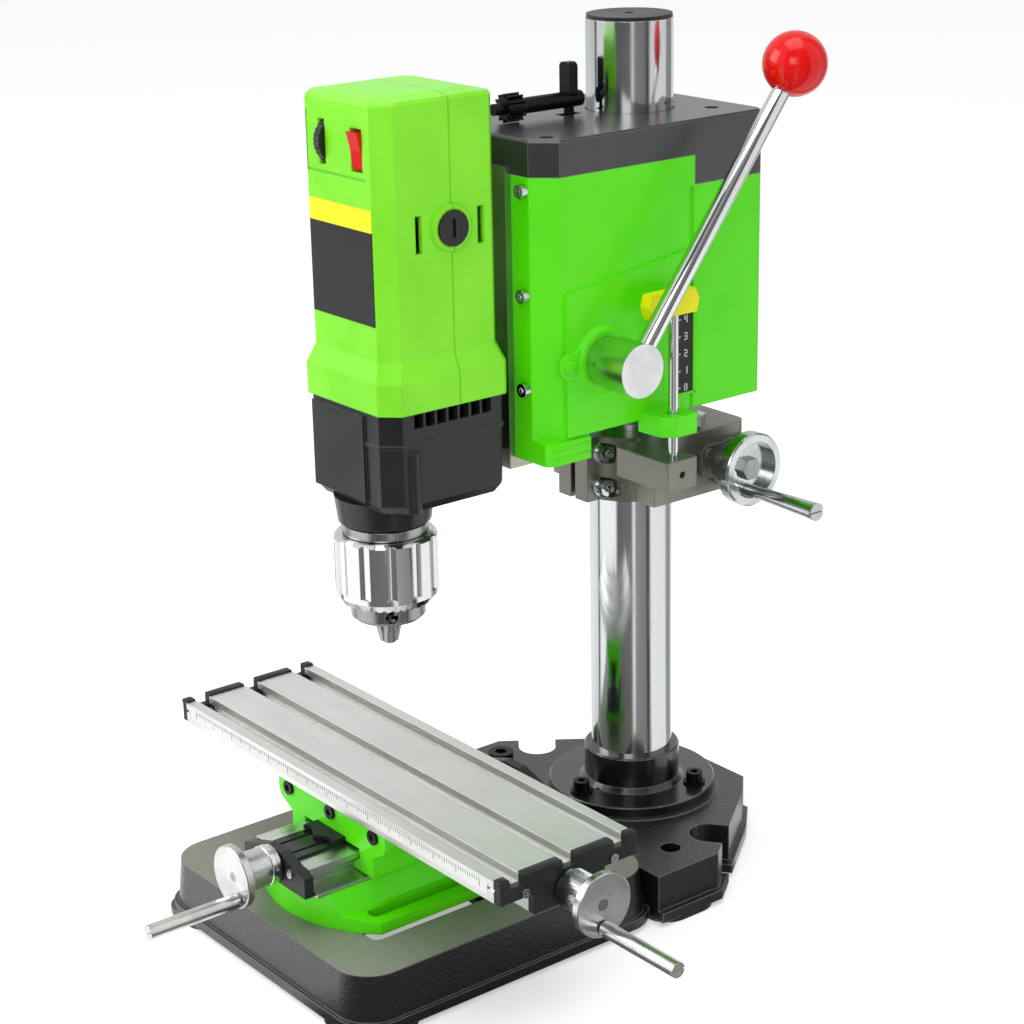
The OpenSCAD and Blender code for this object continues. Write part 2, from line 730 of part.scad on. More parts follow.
module at_x_wheel() {
    translate([slide_x + table_x + table_half + end_cap_t + over, -slide_y, x_screw_z]) rotate([90, 0, 90]) children();
}
module at_y_wheel() {
    translate([slide_x, -slide_y + rail_ends[0] - over, y_screw_z]) rotate([90, 0, 0]) children();
}
y_crank_angle = 205;

module x_wheel() {
    color(silver) at_x_wheel() difference() {
        hand_wheel(x_screw_r - over);
        grip_hole(-crank_r);
    }
}
module x_grip() { color(silver) at_x_wheel() translate([0, -crank_r, hub_len + wheel_t]) crank_grip(grip_r); }
module x_screw() {
    color(chrome) at_x_wheel() {
        translate([0, 0, -table_len - 2 * end_cap_t - over])
            cylinder(r = x_screw_r, h = table_len + 2 * end_cap_t + over);
        cylinder(r = x_screw_r - over - column_fit, h = hub_len + wheel_t - dish_depth);
    }
}
module y_wheel() {
    color(silver) at_y_wheel() difference() {
        hand_wheel(y_screw_r - over);
        rotate([0, 0, y_crank_angle - 180]) grip_hole(-crank_r);
    }
}
module y_grip() {
    color(silver) at_y_wheel() rotate([0, 0, y_crank_angle - 180]) translate([0, -crank_r, hub_len + wheel_t])
        crank_grip(grip_r);
}
module y_screw() {
    color(chrome) at_y_wheel() {
        translate([0, 0, -rail_len - 2 * end_plate_t - over])
            cylinder(r = y_screw_r, h = rail_len + 2 * end_plate_t + over);
        cylinder(r = y_screw_r - over - column_fit, h = hub_len + wheel_t - dish_depth);
    }
}

// Carriage values
lift_teeth = 12;
mesh_gap = 0.4;
ear_half_w = 13;
ear_front = 45;
ring_r = 38;
collar_front = 22;
collar_back = 52;
collar_corner = 8;
key_w = 13;
key_y = 31;
clamp_zs = [8, 29];
clamp_y = 34;
clamp_head_r = 5;
clamp_head_h = 6;
block_front = 42;
block_back = 20;
block_out = 80;
block_in = 36;
block_web = 12;
block_h = 17.5;
lift_y = column_rack_line + rack_pitch * lift_teeth / (2 * PI) + mesh_gap;
lift_z = collar_z + 17;
lift_axle_r = 6;
lift_pinion_root = 6.8;
lift_pinion_tip = 9.1;
lift_pinion_len = 10;
pinion_room = 11;
flange_plate_t = 4;

module collar_outline() {
    difference() {
        union() {
            circle(ring_r);
            translate([-ear_half_w, -ear_front]) square([2 * ear_half_w, ear_front]);
            translate([-collar_half_w, -collar_front]) square([2 * collar_half_w, collar_front + collar_back - collar_corner]);
            translate([0, collar_back - collar_corner * 2]) round_rect(2 * collar_half_w, 4 * collar_corner, collar_corner);
        }
        circle(column_r + run_fit);
        translate([-slit_w / 2, -ear_front - over]) square([slit_w, ear_front]);
        translate([-key_w / 2, 0]) square([key_w, key_y]);
    }
}

module carriage_collar() {
    color(cast_grey) difference() {
        union() {
            translate([0, 0, collar_z]) linear_extrude(collar_h) collar_outline();
            // Block that holds the depth rod
            translate([0, 0, collar_z + collar_h - block_h]) linear_extrude(block_h) polygon([[block_in, -block_front],
                [block_out, -block_front], [block_out, -block_back], [collar_half_w + block_web, -block_back],
                [collar_half_w, -block_back + block_web], [block_in, -block_back + block_web]]);
        }
        // Chamber of the lift pinion and the bore of its axle
        translate([-pinion_room / 2, key_y - over, lift_z - pinion_room])
            cube([pinion_room, lift_y + pinion_room - key_y + over, 2 * pinion_room]);
        translate([0, lift_y, lift_z]) rotate([0, 90, 0]) cylinder(r = lift_axle_r + run_fit, h = collar_half_w + over);
        // Clamp bolt holes across the ears
        for (z = clamp_zs) translate([-ear_half_w - over, -clamp_y, collar_z + z]) rotate([0, 90, 0])
            cylinder(r = bolt_r + column_fit, h = 2 * ear_half_w + 2 * over);
        // Room for the clamp bolt heads
        for (z = clamp_zs) translate([ear_half_w, -clamp_y, collar_z + z]) rotate([0, 90, 0])
            cylinder(r = clamp_head_r + over, h = 2 * clamp_head_h);
        // Depth rod hole and its set screw hole
        translate([rod_x, -rod_y, collar_z + collar_h - block_h - over]) cylinder(r = rod_r + column_fit, h = block_h + 2 * over);
        translate([rod_x, -rod_y, collar_z + collar_h - block_h / 2]) rotate([0, 90, 0])
            cylinder(r = screw_hole_r, h = block_out);
    }
}

module clamp_bolts() {
    color(black) for (z = clamp_zs) translate([ear_half_w, -clamp_y, collar_z + z]) rotate([0, 90, 0])
        socket_screw(clamp_head_r, clamp_head_h, bolt_r, 2 * ear_half_w - over, clamp_head_r / 2);
}

module lift_flange() {
    color(cast_grey) translate([collar_half_w, lift_y, lift_z]) rotate([90, 0, 90]) difference() {
        union() {
            linear_extrude(flange_plate_t) {
                circle(flange_plate_r);
                translate([0, flange_plate_r / 4]) round_rect(flange_plate_w, flange_plate_h, 6 * over);
            }
            cylinder(r = flange_plate_r * flange_nose_share, h = flange_plate_t + over * 3);
        }
        translate([0, 0, -over]) cylinder(r = lift_axle_r + run_fit, h = flange_plate_t + 6 * over);
    }
    // Its two screws
    color(chrome) for (s = [-1, 1]) translate([collar_half_w + flange_plate_t, lift_y + s * flange_screw_y, lift_z + flange_screw_z])
        rotate([0, 90, 0]) cylinder(r = small_head_r, h = small_head_h);
}
flange_plate_r = 15;
flange_plate_w = 46;
flange_plate_h = 20;
flange_nose_share = 0.8;
flange_screw_y = 17;
flange_screw_z = 9;

// Depth rod, pointer and feed rack values
rod_top = 366;
pointer_z = 353;
pointer_h = 14;
pointer_front = 50;
pointer_back = 16;
pointer_t = 8;
feed_pitch = 4.5;
feed_tooth = 2;
feed_count = 19;
feed_rack_x = -8;
feed_rack_w = 8;
feed_rack_back = 5;
feed_gear_teeth = 33;
feed_pitch_r = feed_pitch * feed_gear_teeth / (2 * PI);
feed_line = feed_y - feed_pitch_r - mesh_gap;
feed_rack_foot = 30.5;

module depth_rod() {
    color(chrome) translate([rod_x, -rod_y, collar_z + collar_h - block_h])
        cylinder(r = rod_r, h = rod_top - collar_z - collar_h + block_h);
}

module depth_pointer() {
    color(yellow) difference() {
        translate([rod_x - pointer_t / 2, 0, pointer_z]) rotate([90, 0, 90]) linear_extrude(pointer_t)
            polygon([[-pointer_front, 0], [-pointer_back - over, 0], [-pointer_back + over, pointer_h / 2],
                [-pointer_back - over * 2, pointer_h], [-pointer_front, pointer_h],
                [-pointer_front - over * 2, pointer_h / 2]]);
        translate([rod_x, -rod_y, pointer_z - over]) cylinder(r = rod_r + column_fit, h = pointer_h + 2 * over);
    }
}

module feed_rack() {
    color(cast_grey) translate([feed_rack_x - feed_rack_w / 2, -feed_line, collar_z + collar_h + feed_rack_foot])
        rotate([0, 0, 90]) rotate([90, 0, 0]) linear_extrude(feed_rack_w)
            polygon(rack_points(feed_pitch, feed_count, feed_tooth, feed_rack_back));
    color(cast_grey) translate([feed_rack_x - feed_rack_w / 2, -feed_line + feed_tooth / 2, collar_z + collar_h])
        cube([feed_rack_w, feed_rack_back - feed_tooth / 2, feed_rack_foot]);
}

module lock_nut() {
    color(chrome) translate([lock_nut_x, lock_nut_y, collar_z + collar_h]) {
        cylinder(r = lock_nut_r, h = lock_nut_h, $fn = 6);
        cylinder(r = lock_nut_r / 2, h = lock_nut_h * lock_stud_share);
    }
}
lock_nut_x = 32;
lock_nut_y = 18;
lock_nut_r = 10;
lock_nut_h = 7;
lock_stud_share = 1.25;

// Lift wheel, along +Z from the flange
lift_wheel_gap = 1;
lift_hub_len = 8;
lift_rim_t = 9;
lift_rim_w = 5;
lift_web_t = 3;
lift_nut_h = 4;
lift_hub_r = 9;

module at_lift() {
    translate([collar_half_w + flange_plate_t + 3 * over + lift_wheel_gap, lift_y, lift_z]) rotate([90, 0, 90]) children();
}

module lift_wheel() {
    color(chrome) at_lift() {
        difference() {
            rotate_extrude() polygon([[lift_axle_r - over, 0], [lift_hub_r, 0], [lift_hub_r, lift_hub_len],
                [lift_wheel_r - over, lift_hub_len], [lift_wheel_r, lift_hub_len + over],
                [lift_wheel_r, lift_hub_len + lift_rim_t - over], [lift_wheel_r - over, lift_hub_len + lift_rim_t],
                [lift_wheel_r - lift_rim_w, lift_hub_len + lift_rim_t],
                [lift_wheel_r - lift_rim_w, lift_hub_len + lift_web_t], [lift_axle_r - over, lift_hub_len + lift_web_t]]);
            translate([0, -crank_r, lift_hub_len - over]) cylinder(r = grip_pin_r + run_fit, h = lift_web_t + 2 * over);
        }
    }
}

module lift_pinion() {
    reach = collar_half_w + flange_plate_t + 3 * over + lift_wheel_gap + pinion_room / 2 - slide_gap;
    color(chrome) {
        translate([-pinion_room / 2 + slide_gap, lift_y, lift_z]) rotate([0, 90, 0])
            linear_extrude(pinion_room - 2 * slide_gap)
                polygon(gear_points(lift_pinion_root, lift_pinion_tip, lift_teeth, lift_phase));
        translate([-pinion_room / 2 + slide_gap, lift_y, lift_z]) rotate([0, 90, 0])
            cylinder(r = lift_axle_r, h = reach - slide_gap);
        at_lift() translate([0, 0, -over]) cylinder(r = lift_axle_r - over - column_fit, h = lift_hub_len + lift_web_t + lift_nut_h);
        at_lift() translate([0, 0, lift_hub_len + lift_web_t]) cylinder(r = lift_axle_r + over, h = lift_nut_h, $fn = 6);
    }
}
lift_phase = 15;

module lift_grip() {
    color(chrome) at_lift() translate([0, -crank_r, lift_hub_len + lift_web_t])
        difference() {
            union() {
                translate([0, 0, slide_gap]) cylinder(r1 = lift_grip_root_r, r2 = grip_r + over, h = grip_len + over);
                translate([0, 0, -lift_web_t]) cylinder(r = grip_pin_r, h = lift_web_t + over);
            }
            translate([-2 * grip_r, -over / 2, grip_len]) cube([4 * grip_r, over, 3 * over]);
        }
}
lift_grip_root_r = 3.4;

// Head values
head_chamfer = 11.9;
head_rear_r = 6;
column_boss_r = 33;
foot_back = 80;
foot_drop = 13.5;
step_y = 1.5;
step_drop = 16.5;
panel_out = 2;
panel_top = 384;
groove_y = 4;
groove_w = 3;
groove_d = 1.2;
recess_front = 27;
recess_back = 13;
recess_low = 303;
recess_high = 362;
recess_d = 1.4;
lug_front = 42;
lug_back = 20;
lug_out = 80;
lug_z = 284;
lug_h = 12;
feed_boss_r = 21;
feed_boss_out = 3;
feed_axle_r = 7;
rack_room = 2;
cover_screw_places = [[44, -97], [-44, -97], [34, 32], [-34, 32]];
cover_screw_r = 4.3;
head_bolt_zs = [318.5, 371, 428.5];
head_bolt_x = 41;
head_bolt_r = 4;
head_bolt_h = 4;

module head_outline(grow) {
    w = head_half_w + grow;
    c = head_chamfer;
    difference() {
        translate([0, (head_back - head_front) / 2]) round_rect(2 * w, head_front + head_back + 2 * grow, head_rear_r);
        for (s = [-1, 1]) translate([s * w, -head_front - grow]) rotate([0, 0, 45])
            square([sqrt(2) * c, sqrt(2) * c], center = true);
    }
}

module head_housing() {
    rack_box_w = feed_rack_w + 2 * rack_room;
    color(green) difference() {
        union() {
            difference() {
                union() {
                    translate([0, 0, head_z]) linear_extrude(cover_z - head_z) head_outline(0);
                    // Foot under the front
                    intersection() {
                        translate([0, 0, head_z - foot_drop]) linear_extrude(foot_drop + over) head_outline(0);
                        translate([-head_half_w, -head_front - over, head_z - foot_drop])
                            cube([2 * head_half_w, head_front - foot_back + over, foot_drop + over]);
                    }
                    // Raised side panels
                    for (s = [-1, 1]) translate([s > 0 ? head_half_w - over : -head_half_w - panel_out, 0, 0])
                        rotate([90, 0, 90]) linear_extrude(panel_out + over)
                            polygon([[-head_front + head_chamfer + panel_out, head_z + over], [-groove_y - groove_w, head_z + over],
                                [-groove_y - groove_w, panel_top], [-head_front + head_chamfer + panel_out, panel_top - head_chamfer]]);
                }
                // Cavity under the cover
                translate([0, 0, head_z + head_wall]) linear_extrude(cover_z) head_outline(-head_wall);
            }
            // Column boss and the bearing blocks of the feed shaft
            translate([0, 0, head_z]) cylinder(r = column_boss_r, h = cover_z - head_z);
            for (x = [-head_half_w, head_half_w - head_wall - feed_boss_out])
                translate([x, -feed_y, feed_z]) rotate([0, 90, 0]) cylinder(r = feed_boss_r, h = head_wall + feed_boss_out);
            translate([head_half_w - over, -feed_y, feed_z]) rotate([0, 90, 0])
                cylinder(r1 = feed_boss_r + over * 2, r2 = feed_boss_r * boss_share, h = feed_boss_out + panel_out + over);
            // Screw pillars under the cover
            for (p = cover_screw_places) translate([p[0], p[1], head_z]) cylinder(r = cover_screw_r + over * 2, h = cover_z - head_z);
            // Lug that guides the depth rod
            translate([0, 0, lug_z]) linear_extrude(lug_h) polygon([[head_half_w - over, -lug_front - over],
                [lug_out - over * 6, -lug_front], [lug_out, -lug_front + over * 6], [lug_out, -lug_back], [head_half_w - over, -lug_back + over]]);
            // Guide over the lug
            translate([head_half_w - over, -recess_back - over * 2, lug_z + lug_h - over]) cube([panel_out, over * 2, recess_low - lug_z]);
        }
        // Column bore
        translate([0, 0, head_z - foot_drop - over]) cylinder(r = column_r + run_fit, h = cover_z);
        // Slot of the column rack
        translate([-key_w / 2, 0, head_z - over]) cube([key_w, key_y - over, cover_z - head_z + 2 * over]);
        // Slot of the feed rack through the floor and the column boss
        translate([feed_rack_x - rack_box_w / 2, -feed_line - feed_tooth - rack_room, head_z - foot_drop - over])
            cube([rack_box_w, feed_rack_back + feed_tooth + 2 * rack_room, cover_z - head_z + foot_drop + 2 * over]);
        // Feed shaft bore
        translate([-head_half_w - over, -feed_y, feed_z]) rotate([0, 90, 0])
            cylinder(r = feed_axle_r + run_fit, h = 2 * head_half_w + 6 * over + feed_boss_out);
        // Depth rod hole in the lug
        translate([rod_x, -rod_y, lug_z - over]) cylinder(r = rod_r + slide_gap, h = lug_h + 2 * over);
        // Recess of the depth scale
        translate([head_half_w + panel_out - recess_d, -recess_front, recess_low])
            cube([2 * recess_d, recess_front - recess_back, recess_high - recess_low]);
        // Vertical groove down the side
        for (s = [-1, 1]) translate([s * head_half_w - groove_d, -groove_y - groove_w / 2, head_z - over])
            cube([2 * groove_d, groove_w, cover_z - head_z - step_drop]);
        // Cover screw holes
        for (p = cover_screw_places) translate([p[0], p[1], cover_z - 8 * over]) cylinder(r = screw_hole_r, h = 10 * over);
        // Stepped parting line at the back
        difference() {
            translate([-head_half_w - 3 * over, -step_y, cover_z - step_drop])
                cube([2 * head_half_w + 6 * over, head_back + 3 * over, step_drop + over]);
            translate([0, 0, cover_z - step_drop - over]) linear_extrude(step_drop + 3 * over) difference() {
                head_outline(-head_wall / 2 - slide_gap);
            }
        }
        // Front bolt holes
        for (s = [-1, 1], z = head_bolt_zs) translate([s * head_bolt_x, -head_front - over, z]) rotate([-90, 0, 0])
            cylinder(r = screw_hole_r, h = head_wall);
    }
}
boss_share = 0.8;

module head_cover() {
    color(cover_grey) difference() {
        union() {
            hull() {
                translate([0, 0, cover_z]) linear_extrude(cover_h - cover_bevel) head_outline(0);
                translate([0, 0, cover_z + cover_h - slice]) linear_extrude(slice) head_outline(-cover_bevel);
            }
            // Skirt that steps down over the back of the housing
            translate([0, 0, cover_z - step_drop]) linear_extrude(step_drop + over) difference() {
                head_outline(0);
                head_outline(-head_wall / 2);
                translate([-head_half_w - over, -head_front - over])
                    square([2 * head_half_w + 2 * over, head_front + over - step_y]);
            }
        }
        // Column hole with the slot of the rack
        translate([0, 0, cover_z - over]) cylinder(r = column_r + cover_gap, h = cover_h + 2 * over);
        translate([-key_w / 2, 0, cover_z - over]) cube([key_w, key_y - over, cover_h + 2 * over]);
        // Hollow inside
        difference() {
            translate([0, 0, cover_z - over]) linear_extrude(cover_h - cover_top_t + over) head_outline(-head_wall);
            cylinder(r = column_boss_r, h = column_top);
            for (p = cover_screw_places) translate([p[0], p[1], 0]) cylinder(r = cover_screw_r + over * 2, h = column_top);
        }
        // Screw recesses
        for (p = cover_screw_places) translate([p[0], p[1], cover_z - over]) {
            cylinder(r = screw_hole_r + slide_gap, h = cover_h + 2 * over);
            translate([0, 0, cover_h - cover_recess + over]) cylinder(r = cover_screw_r, h = cover_recess + over);
        }
        // Slot that holds the handle of the chuck key, and a seat for its gear
        translate([key_x - key_slot_w / 2, key_handle_y - key_slot_w, cover_z]) cube([key_slot_w, 2 * key_slot_w, cover_h + over]);
    }
}
cover_bevel = 1.2;
cover_gap = 0.6;
cover_top_t = 6;
cover_recess = 4;

module head_screws() {
    color(black) for (p = cover_screw_places) translate([p[0], p[1], cover_z + cover_h - cover_recess])
        socket_screw(cover_screw_r - slide_gap, cover_recess / 2, screw_hole_r - column_fit,
            cover_h - cover_recess + 6 * over, screw_hole_r);
    color(chrome) for (s = [-1, 1], z = head_bolt_zs) translate([s * head_bolt_x, -head_front, z]) rotate([90, 0, 0])
        socket_screw(head_bolt_r, head_bolt_h, screw_hole_r - column_fit, head_wall - 2 * over, screw_hole_r);
}

// Motor plate values
plate_half = 30;
plate_t = 4;
plate_foot_t = 6.3;
plate_low = head_z - foot_drop - plate_foot_t;
plate_high = 440;
plate_foot = 24;

module motor_plate() {
    color(silver) difference() {
        union() {
            translate([-plate_half, -head_front - plate_t, plate_low]) cube([2 * plate_half, plate_t, plate_high - plate_low]);
            translate([-plate_half, -head_front - plate_t, plate_low]) cube([2 * plate_half, plate_foot, head_z - foot_drop - plate_low]);
        }
        for (z = [feed_z, plate_high - plate_foot]) translate([0, -head_front + over, z]) rotate([90, 0, 0])
            cylinder(r = bolt_r, h = plate_t + 2 * over);
    }
}

// Motor case values
motor_mid_y = -(motor_front + motor_back) / 2;
motor_depth = motor_front - motor_back;
case_chamfer = 9.4;
case_rear_chamfer = 4;
flare_out = 4;
flare_low = 337;
flare_high = 348;
crown_h = 4;
seam_y = -157.5;
seam_gap = 0.15;
dial_x = -14.2;
dial_z = 459.5;
dial_r = 13;
dial_t = 5;
dial_out = 4;
dial_slot_h = 24;
switch_x = 17.2;
switch_z = 458.5;
switch_w = 14.7;
switch_h = 27;
brush_y = 158.5;
brush_z = 415.4;
brush_ring_r = 12.6;
brush_ring_out = 2.5;
brush_cap_r = 9.6;
brush_cap_out = 1.2;
vent_ys = [179, 138.2];
vent_w = 4;
vent_h = 20;
vent_z = 404;
panel_groove = 0.8;
panel_left = -29;
panel_right = 24.5;
panel_low = 443;
panel_high = 475;

// Plan of the motor case, grown by a margin, with deeper chamfers at the front
module case_outline(grow) {
    w = motor_half_w + grow;
    f = -motor_front - grow;
    b = -motor_back + grow;
    c = case_chamfer;
    k = case_rear_chamfer;
    polygon([[-w + c, f], [w - c, f], [w, f + c], [w, b - k], [w - k, b], [-w + k, b], [-w, b - k], [-w, f + c]]);
}

module case_shell() {
    difference() {
        union() {
            translate([0, 0, motor_z]) linear_extrude(flare_low - motor_z) case_outline(flare_out);
            hull() {
                translate([0, 0, flare_low - slice]) linear_extrude(slice) case_outline(flare_out);
                translate([0, 0, flare_high]) linear_extrude(slice) case_outline(0);
            }
            translate([0, 0, flare_high]) linear_extrude(motor_top - crown_h - flare_high) case_outline(0);
            hull() {
                translate([0, 0, motor_top - crown_h]) linear_extrude(slice) case_outline(0);
                translate([0, 0, motor_top - crown_h / 2]) linear_extrude(slice) case_outline(-over);
                translate([0, 0, motor_top - slice]) linear_extrude(slice) case_outline(-3 * crown_h);
            }
            for (s = [-1, 1]) translate([s * (motor_half_w - case_wall), -brush_y, brush_z]) rotate([0, s * 90, 0])
                cylinder(r = brush_ring_r, h = case_wall + brush_ring_out);
        }
        translate([0, 0, motor_z - over]) linear_extrude(motor_top - crown_h - case_wall - motor_z + over)
            case_outline(-case_wall);
        // Brush holder bores
        for (s = [-1, 1]) translate([s * (motor_half_w - 2 * case_wall), -brush_y, brush_z]) rotate([0, s * 90, 0])
            cylinder(r = brush_cap_r + run_fit, h = 4 * case_wall);
        // Vent slots
        for (s = [-1, 1], y = vent_ys) translate([s * motor_half_w, -y, vent_z + vent_h / 2])
            cube([4 * case_wall, vent_w, vent_h], center = true);
        // Slot of the speed dial and seat of the switch
        translate([dial_x - dial_t / 2 - slide_gap, -motor_front - over, dial_z - dial_slot_h / 2])
            cube([dial_t + 2 * slide_gap, 2 * case_wall, dial_slot_h]);
        translate([switch_x - switch_w / 2, -motor_front - over, switch_z - switch_h / 2])
            cube([switch_w, 2 * case_wall, switch_h]);
        // Panel line round the dial and the switch
        translate([panel_left, -motor_front - panel_groove, panel_low]) cube([over, 2 * panel_groove, panel_high - panel_low]);
        translate([panel_left, -motor_front - panel_groove, panel_low]) cube([panel_right - panel_left, 2 * panel_groove, over]);
        // Gland hole on the left
        translate([-motor_half_w - over, -gland_y, gland_z]) rotate([0, 90, 0]) cylinder(r = gland_r, h = 2 * case_wall);
    }
}
gland_y = 176;
gland_z = 463;
gland_r = 5;
gland_out = 9;

module motor_case_front() {
    color(lime) difference() {
        case_shell();
        translate([-2 * motor_half_w, seam_y - seam_gap / 2, motor_z - over]) cube([4 * motor_half_w, motor_depth, motor_top]);
    }
    // Frame of the rocker switch, snapped into its seat
    color(black) translate([switch_x, -motor_front + case_wall, switch_z]) difference() {
        translate([-switch_w / 2, -case_wall, -switch_h / 2]) cube([switch_w, 3 * case_wall, switch_h]);
        translate([-rocker_w / 2 - slide_gap, -case_wall - over, -rocker_h / 2 - slide_gap])
            cube([rocker_w + 2 * slide_gap, 3 * case_wall, rocker_h + 2 * slide_gap]);
        translate([-switch_w, rocker_pin_y, 0]) rotate([0, 90, 0]) cylinder(r = rocker_pin_r + run_fit, h = 2 * switch_w);
    }
}
rocker_w = 9.4;
rocker_h = 22;
rocker_pin_r = 1;
rocker_pin_y = 1.5;
rocker_tilt = 14;
rocker_out = 4.5;

module motor_case_rear() {
    color(lime) difference() {
        case_shell();
        translate([-2 * motor_half_w, seam_y + seam_gap / 2 - 2 * motor_depth, motor_z - over])
            cube([4 * motor_half_w, 2 * motor_depth, motor_top]);
    }
}

module power_switch() {
    color(red) translate([switch_x, -motor_front + case_wall + rocker_pin_y, switch_z]) {
        rotate([90, 0, 90]) translate([0, 0, -rocker_w / 2]) linear_extrude(rocker_w)
            polygon([[rocker_root, -rocker_h / 2 * rocker_share], [rocker_root, rocker_h / 2 * rocker_share],
                [-case_wall - rocker_out, rocker_h / 2 * rocker_share], [-case_wall - rocker_pin_y - over / 2, 0],
                [-case_wall - rocker_pin_y + over / 2, -rocker_h / 2 * rocker_share]]);
        translate([-switch_w / 2 + over / 2, 0, 0]) rotate([0, 90, 0]) cylinder(r = rocker_pin_r, h = switch_w - over);
    }
}
rocker_root = 1.2;
rocker_share = 0.9;

module speed_dial() {
    color(black) translate([dial_x - dial_t / 2, -motor_front - dial_out + dial_r, dial_z]) rotate([0, 90, 0])
        difference() {
            linear_extrude(dial_t) polygon([for (i = [0:2 * dial_notches - 1]) let (a = 180 / dial_notches * i,
                r = dial_r - (i % 2) * over / 2) [r * cos(a), r * sin(a)]]);
            translate([0, 0, -over]) cylinder(r = dial_pin_r + run_fit, h = dial_t + 2 * over);
        }
}
dial_notches = 30;
dial_pin_r = 2;

module brush_caps() {
    color(black) for (s = [-1, 1]) translate([s * (motor_half_w - case_wall), -brush_y, brush_z]) rotate([0, s * 90, 0])
        difference() {
            cylinder(r = brush_cap_r, h = case_wall + brush_ring_out + brush_cap_out);
            translate([-brush_cap_r / 2, -over, case_wall + brush_ring_out]) cube([brush_cap_r, 2 * over, 2 * over]);
        }
}

module cable_gland() {
    color(black) translate([-motor_half_w - gland_out, -gland_y, gland_z]) rotate([0, 90, 0]) difference() {
        union() {
            cylinder(r1 = gland_r - over, r2 = gland_r + over, h = gland_out);
            cylinder(r = gland_r - column_fit, h = gland_out + case_wall);
        }
        translate([0, 0, -over]) cylinder(r = gland_r / 2, h = gland_out);
    }
}

// Motor inside
rotor_z = 330;
rotor_len = 70;
rotor_r = 19;
rotor_shaft_r = 4;
field_r = 24;
field_out_r = 33;
pinion_root = 4.1;
pinion_tip = 5.7;
pinion_teeth = 10;
gear_root = 16.1;
gear_tip = 17.7;
gear_teeth = 34;
gear_z = 290;
gear_t = 8;
rotor_shaft_top = 450;

module rotor() {
    color(copper) translate([0, -rotor_y, 0]) {
        translate([0, 0, rotor_z + over * 10]) cylinder(r = rotor_r, h = rotor_len);
        translate([0, 0, gear_z - over]) cylinder(r = rotor_shaft_r, h = rotor_shaft_top - gear_z + over);
        translate([0, 0, gear_z]) linear_extrude(gear_t) polygon(gear_points(pinion_root, pinion_tip, pinion_teeth, 90));
    }
}

module motor_field() {
    color(cast_grey) translate([0, -rotor_y, rotor_z + over * 12]) difference() {
        cylinder(r = field_out_r, h = rotor_len * field_share);
        translate([0, 0, -over]) cylinder(r = field_r, h = rotor_len);
        translate([-field_out_r, field_out_r - field_flat, -over]) cube([2 * field_out_r, field_out_r, rotor_len]);
    }
}
field_share = 0.9;
field_flat = 5;

// Gearbox values
gearbox_half_w = 39.5;
gearbox_front = 203.5;
gearbox_back = 125;
gearbox_wall = 4;
gearbox_z = motor_z - gearbox_h;
neck_r = 27;
neck_z = 250;
gearbox_line_z = motor_z - 19;
notch_count = 7;
vent_notch_w = 6.2;
vent_notch_h = 9;
rear_block_half = 22;
rear_block_low = 280;
spindle_shaft_r = 8;
bearing_r = 16;
bearing_h = 9;

module gearbox_outline(grow) {
    w = gearbox_half_w + grow;
    f = -gearbox_front - grow;
    b = -gearbox_back + grow;
    c = case_chamfer;
    k = case_rear_chamfer;
    polygon([[-w + c, f], [w - c, f], [w, f + c], [w, b - k], [w - k, b], [-w + k, b], [-w, b - k], [-w, f + c]]);
}

module gearbox() {
    color(black) difference() {
        union() {
            hull() {
                translate([0, 0, gearbox_z]) linear_extrude(slice) gearbox_outline(-3 * over);
                translate([0, 0, gearbox_z + 5 * over]) linear_extrude(slice) gearbox_outline(0);
                translate([0, 0, motor_z - slice]) linear_extrude(slice) gearbox_outline(over / 2);
            }
            // Parting lip
            translate([0, 0, gearbox_line_z]) linear_extrude(over * 2) gearbox_outline(over);
            // Front window panel
            translate([-panel_half - 6 * over, -gearbox_front - over * 2, gearbox_z + 5 * over])
                cube([2 * panel_half, 4 * over, gearbox_h - 8 * over]);
            // Corner posts
            for (s = [-1, 1]) translate([s * (gearbox_half_w - 2 * over), -gearbox_front + case_chamfer + 6 * over, gearbox_z + over])
                cylinder(r = 5 * over, h = gearbox_h * post_share);
            translate([0, -spindle_y, neck_z]) cylinder(r1 = neck_r - over, r2 = neck_r + over, h = gearbox_z - neck_z + 2 * over);
            // Block that meets the motor plate
            translate([-rear_block_half, -gearbox_back - over, rear_block_low])
                cube([2 * rear_block_half, gearbox_back - head_front - plate_t + over, motor_z - rear_block_low]);
        }
        // Gear chamber, open to the motor above
        translate([0, 0, gearbox_z + bearing_h + gearbox_wall]) linear_extrude(gearbox_h) gearbox_outline(-gearbox_wall);
        // Bearing seat and the spindle's way out
        translate([0, -spindle_y, neck_z + gearbox_wall]) cylinder(r = bearing_r + column_fit, h = gearbox_h);
        translate([0, -spindle_y, neck_z - over]) cylinder(r = spindle_shaft_r + 2 * over, h = gearbox_h);
        // Air slots under the motor case
        for (s = [-1, 1], i = [0:notch_count - 1])
            translate([s * gearbox_half_w - 2 * gearbox_wall / 2 - over, i * (vent_notch_w + air_slot_gap) - air_slot_back, motor_z - vent_notch_h])
                cube([2 * gearbox_wall + 2 * over, vent_notch_w, vent_notch_h + over]);
    }
}
panel_half = 24;
post_share = 0.6;
air_slot_back = 187;
air_slot_gap = 1.4;

module spindle_bearings() {
    color(chrome) translate([0, -spindle_y, 0]) for (z = [neck_z + gearbox_wall, neck_z + gearbox_wall + bearing_h + 3 * over])
        translate([0, 0, z]) difference() {
            cylinder(r = bearing_r, h = bearing_h);
            translate([0, 0, -over]) cylinder(r = spindle_shaft_r + run_fit, h = bearing_h + 2 * over);
        }
}

